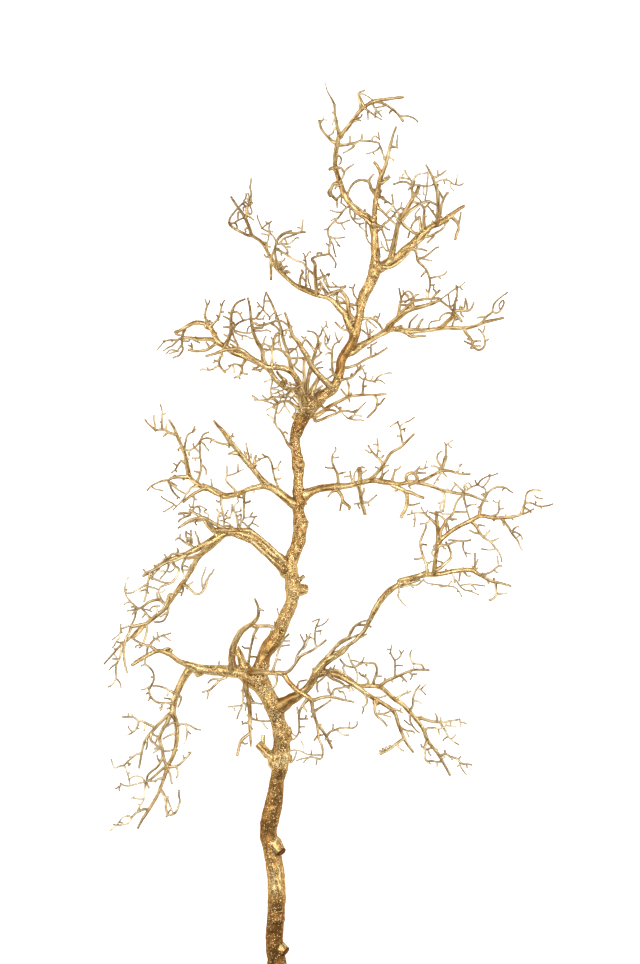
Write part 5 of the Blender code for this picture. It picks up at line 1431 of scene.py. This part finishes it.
def paint_colour(tree, place, streaks, is_grain):
    """The ramp of the tone, which streaks and blotches make uneven. Streaks show most on pale paint,
    so their strength is the square of the tone. Glitter grains are laid over it."""
    tone = field(tree, "tone")
    blotches = noise(tree, place, BLOTCH_SCALE)
    strength = maths(tree, "MULTIPLY", maths(tree, "MULTIPLY", tone, tone), STREAKED)
    mixed = maths(tree, "MULTIPLY_ADD", maths(tree, "SUBTRACT", streaks, 0.5), strength, tone)
    mixed = maths(tree, "MULTIPLY_ADD", maths(tree, "SUBTRACT", blotches, 0.5), BLOTCHED, mixed)
    base = blend_colours(tree, field(tree, "bare"), ramp(tree, mixed, PAINT),
                         ramp(tree, mixed, BARE_TWIG))
    return blend_colours(tree, maths(tree, "MULTIPLY", is_grain, GLITTER_TINT), base, GLITTER)


# %% The relief of the paint
PAINT_TILT, GLITTER_TILT = 0.16, 0.91
PAINT_DOME, GLITTER_DOME = 0.2, 1.0
STREAK_RIDGE = 0.6
RELIEF_SHARE = 0.6
RELIEF_HEIGHT = 0.0005


def paint_normal(tree, streaks, cells, is_grain):
    """The way the paint faces: every cell is tilted at random, a glitter grain much further, and
    then domed, and the streaks lie over them as low ridges."""
    tilt = vectors(tree, "SUBTRACT", cells.outputs["Color"], (0.5, 0.5, 0.5))
    tilt = vectors(tree, "SCALE", tilt, between(tree, is_grain, PAINT_TILT, GLITTER_TILT))
    facing = vectors(tree, "ADD", add(tree, "NewGeometry").outputs["Normal"], tilt)
    dome = maths(tree, "SUBTRACT", 1.0, cells.outputs["Distance"])
    height = maths(tree, "MULTIPLY", dome, between(tree, is_grain, PAINT_DOME, GLITTER_DOME))
    height = maths(tree, "MULTIPLY_ADD", streaks, STREAK_RIDGE, height)
    raised = add(tree, "Bump", {"Height": height, "Normal": vectors(tree, "NORMALIZE", facing),
                                "Strength": RELIEF_SHARE, "Distance": RELIEF_HEIGHT})
    return raised.outputs["Normal"]


# %% The material
PAINT_ROUGH, GLITTER_ROUGH = 0.38, 0.24
PAINT_METAL, DULL_METAL = 0.85, 0.60


def gilded(name):
    """Gold paint that reads each point's tone, glitter cover, bareness, dullness and grain."""
    material = bpy.data.materials.new(name)
    material.use_nodes = True
    tree = material.node_tree
    paint = tree.nodes["Principled BSDF"]
    place = add(tree, "TexCoord").outputs["Object"]
    streaks = noise(tree, field(tree, "grain", "Vector"), STREAK_SCALE)
    cells = add(tree, "TexVoronoi", {"Vector": place, "Scale": GRAIN_SCALE})
    chance = add(tree, "SeparateColor", {"Color": cells.outputs["Color"]}).outputs["Red"]
    cover = maths(tree, "MULTIPLY", field(tree, "gilt"), FULL_COVER)
    is_grain = maths(tree, "LESS_THAN", chance, cover)
    plug(tree, paint_colour(tree, place, streaks, is_grain), paint.inputs["Base Color"])
    plug(tree, paint_normal(tree, streaks, cells, is_grain), paint.inputs["Normal"])
    rough = between(tree, is_grain, PAINT_ROUGH, GLITTER_ROUGH)
    metal = between(tree, field(tree, "dull"), PAINT_METAL, DULL_METAL)
    plug(tree, rough, paint.inputs["Roughness"])
    plug(tree, metal, paint.inputs["Metallic"])
    plug(tree, BROWN_GLOSS, paint.inputs["Specular Tint"])
    return material


gold = gilded("gilded wood")

# %% [markdown]
# ## The pieces
# The branch is split where a maker would saw it to pack it: the stem, and each main limb with all the
# twigs on it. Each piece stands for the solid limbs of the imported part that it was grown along.

# %% What differs from piece to piece
ROOT_SHADE = {"right": 0.17, "mid_right": 0.06, "front": 0.10}
BROWNER = {"peak_left": 0.07, "crown_left": 0.06}

# %% [markdown]
# The wood swells where something grows out of it. A piece knows the roots of its own twigs and of
# every limb, and each line takes up only those that are thinner than itself.

# %% Where the wood swells
limb_roots = [np.append(rows[2, :3], rows[0, 3]) for piece in PIECES for rows, parent in runs[piece]]
roots = {piece: [np.append(rows[1, :3], rows[0, 3]) for rows, parent, marks in twigs[piece]]
         + limb_roots for piece in PIECES}
print("roots of limbs:", len(limb_roots))

# %% Making the pieces
STEM_SIDES = 56
STEM_STEP = 0.9
LIMB_SIDES = 18
LIMB_STEP = 1.1
THICK_TWIG = 1.9
THICK_SIDES = 14
THICK_STEP = 1.2
TWIG_SIDES = 8
TWIG_STEP = 1.7
SATIN_PARENT = 4


def limb_tubes(piece):
    """The bark of a piece's limbs. Only a limb that grows from thick wood has a satin root."""
    stem = piece == "stem"
    marks = {"b": ""} if stem else {"s": BROWNER.get(piece, 0)}
    tubes = []
    for number, (rows, parent) in enumerate(runs[piece]):
        slimmer = [root for root in roots[piece] if root[3] < rows[:, 3].max()]
        rows = swell(smooth(rows, STEM_STEP if stem else LIMB_STEP), slimmer)
        rows = flare(rows, parent) if parent else rows
        satin = ROOT_SHADE.get(piece, 0.0) * (parent > SATIN_PARENT)
        tubes.append(tube(rows, STEM_SIDES if stem else LIMB_SIDES, 10 * number, marks, stem, satin))
    return tubes


def twig_tubes(piece):
    """The bark of a piece's twigs, with fewer rings and sides where they are thin."""
    tubes = []
    for number, (rows, parent, marks) in enumerate(twigs[piece]):
        thick = rows[:, 3].max() > THICK_TWIG
        fine = flare(smooth(rows, THICK_STEP if thick else TWIG_STEP), parent)
        marks = {"s": BROWNER.get(piece, 0), **marks}
        tubes.append(tube(fine, THICK_SIDES if thick else TWIG_SIDES, number, marks, False))
    return tubes


def build(piece):
    """One object with the bark of a piece's limbs and twigs, in place of their solids."""
    made = bpy.data.objects.new(piece, make_mesh(piece, limb_tubes(piece) + twig_tubes(piece)))
    made.data.materials.append(gold)
    bpy.context.scene.collection.objects.link(made)
    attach(made, "root")
    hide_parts(*PIECES[piece][0].replace("+", " ").split())
    return made


pieces = [build(piece) for piece in PIECES]
print("faces:", {made.name: len(made.data.polygons) for made in pieces})

# %% [markdown]
# ## Floor, light and camera
# The photograph is high key: the ground is as white as paper, and light from all round has washed
# the shadows out. A white table that glows by itself gives that ground. It is hidden from the diffuse
# light, so that it doesn't bleach the underside of the wood. Metal shows what it faces: a dim, even
# sky leaves the middles of the limbs brown, and three large softboxes, one overhead and one on
# either side, give them pale tops and rims. A picture of a studio wrapped round the scene could do
# the same, but lamps are easier to move and to reason about.

# %% Floor
FLOOR_SIZE = 6.0
FLOOR_GLOW = 0.62
floor_mesh = bpy.data.meshes.new("floor")
corners = np.array([(-1, -1, 0), (1, -1, 0), (1, 1, 0), (-1, 1, 0)]) * FLOOR_SIZE
floor_mesh.from_pydata(corners, [], [(0, 1, 2, 3)])
floor = bpy.data.objects.new("floor", floor_mesh)
bpy.context.scene.collection.objects.link(floor)
pale_floor = bpy.data.materials.new("lit white table")
pale_floor.use_nodes = True
table_top = pale_floor.node_tree.nodes["Principled BSDF"]
table_top.inputs["Base Color"].default_value = (0.85, 0.85, 0.85, 1)
table_top.inputs["Roughness"].default_value = 0.9
table_top.inputs["Emission Color"].default_value = (1, 1, 1, 1)
table_top.inputs["Emission Strength"].default_value = FLOOR_GLOW
floor_mesh.materials.append(pale_floor)
floor.visible_diffuse = False

# %% Sky
world = bpy.data.worlds.new("studio")
bpy.context.scene.world = world
world.use_nodes = True
sky = world.node_tree.nodes["Background"]
sky.inputs["Color"].default_value = (1.0, 0.99, 0.97, 1)
sky.inputs["Strength"].default_value = 0.355


# %% Softboxes
def softbox(name, place, size, power):
    """A large square lamp that faces the middle of the branch, with its side in metres and its power
    in watts."""
    lamp = bpy.data.lights.new(name, "AREA")
    lamp.shape = "SQUARE"
    lamp.size = size
    lamp.energy = power
    made = bpy.data.objects.new(name, lamp)
    made.location = place
    made.rotation_euler = (-made.location).to_track_quat("-Z", "Y").to_euler()
    bpy.context.scene.collection.objects.link(made)


softbox("key softbox", (-0.1, 0.4, 3.1), 1.5, 86)
softbox("left softbox", (-2.0, 0.1, 1.7), 1.4, 31)
softbox("right softbox", (2.0, 0.1, 1.7), 1.4, 33)
print("softboxes:", len(bpy.data.lights))

# %% [markdown]
# A camera that isn't turned looks straight down. A long lens from almost four metres up keeps limbs
# that stand higher from growing much larger, as in the photograph.

# %% Camera
camera = bpy.data.cameras.new("camera")
camera.sensor_fit = "VERTICAL"
camera.sensor_height = 36
camera.lens = 135
eye = bpy.data.objects.new("camera", camera)
eye.location = (-0.0053, 0.0607, 3.675)
bpy.context.scene.collection.objects.link(eye)
bpy.context.scene.camera = eye
bpy.context.scene.view_settings.view_transform = "Standard"
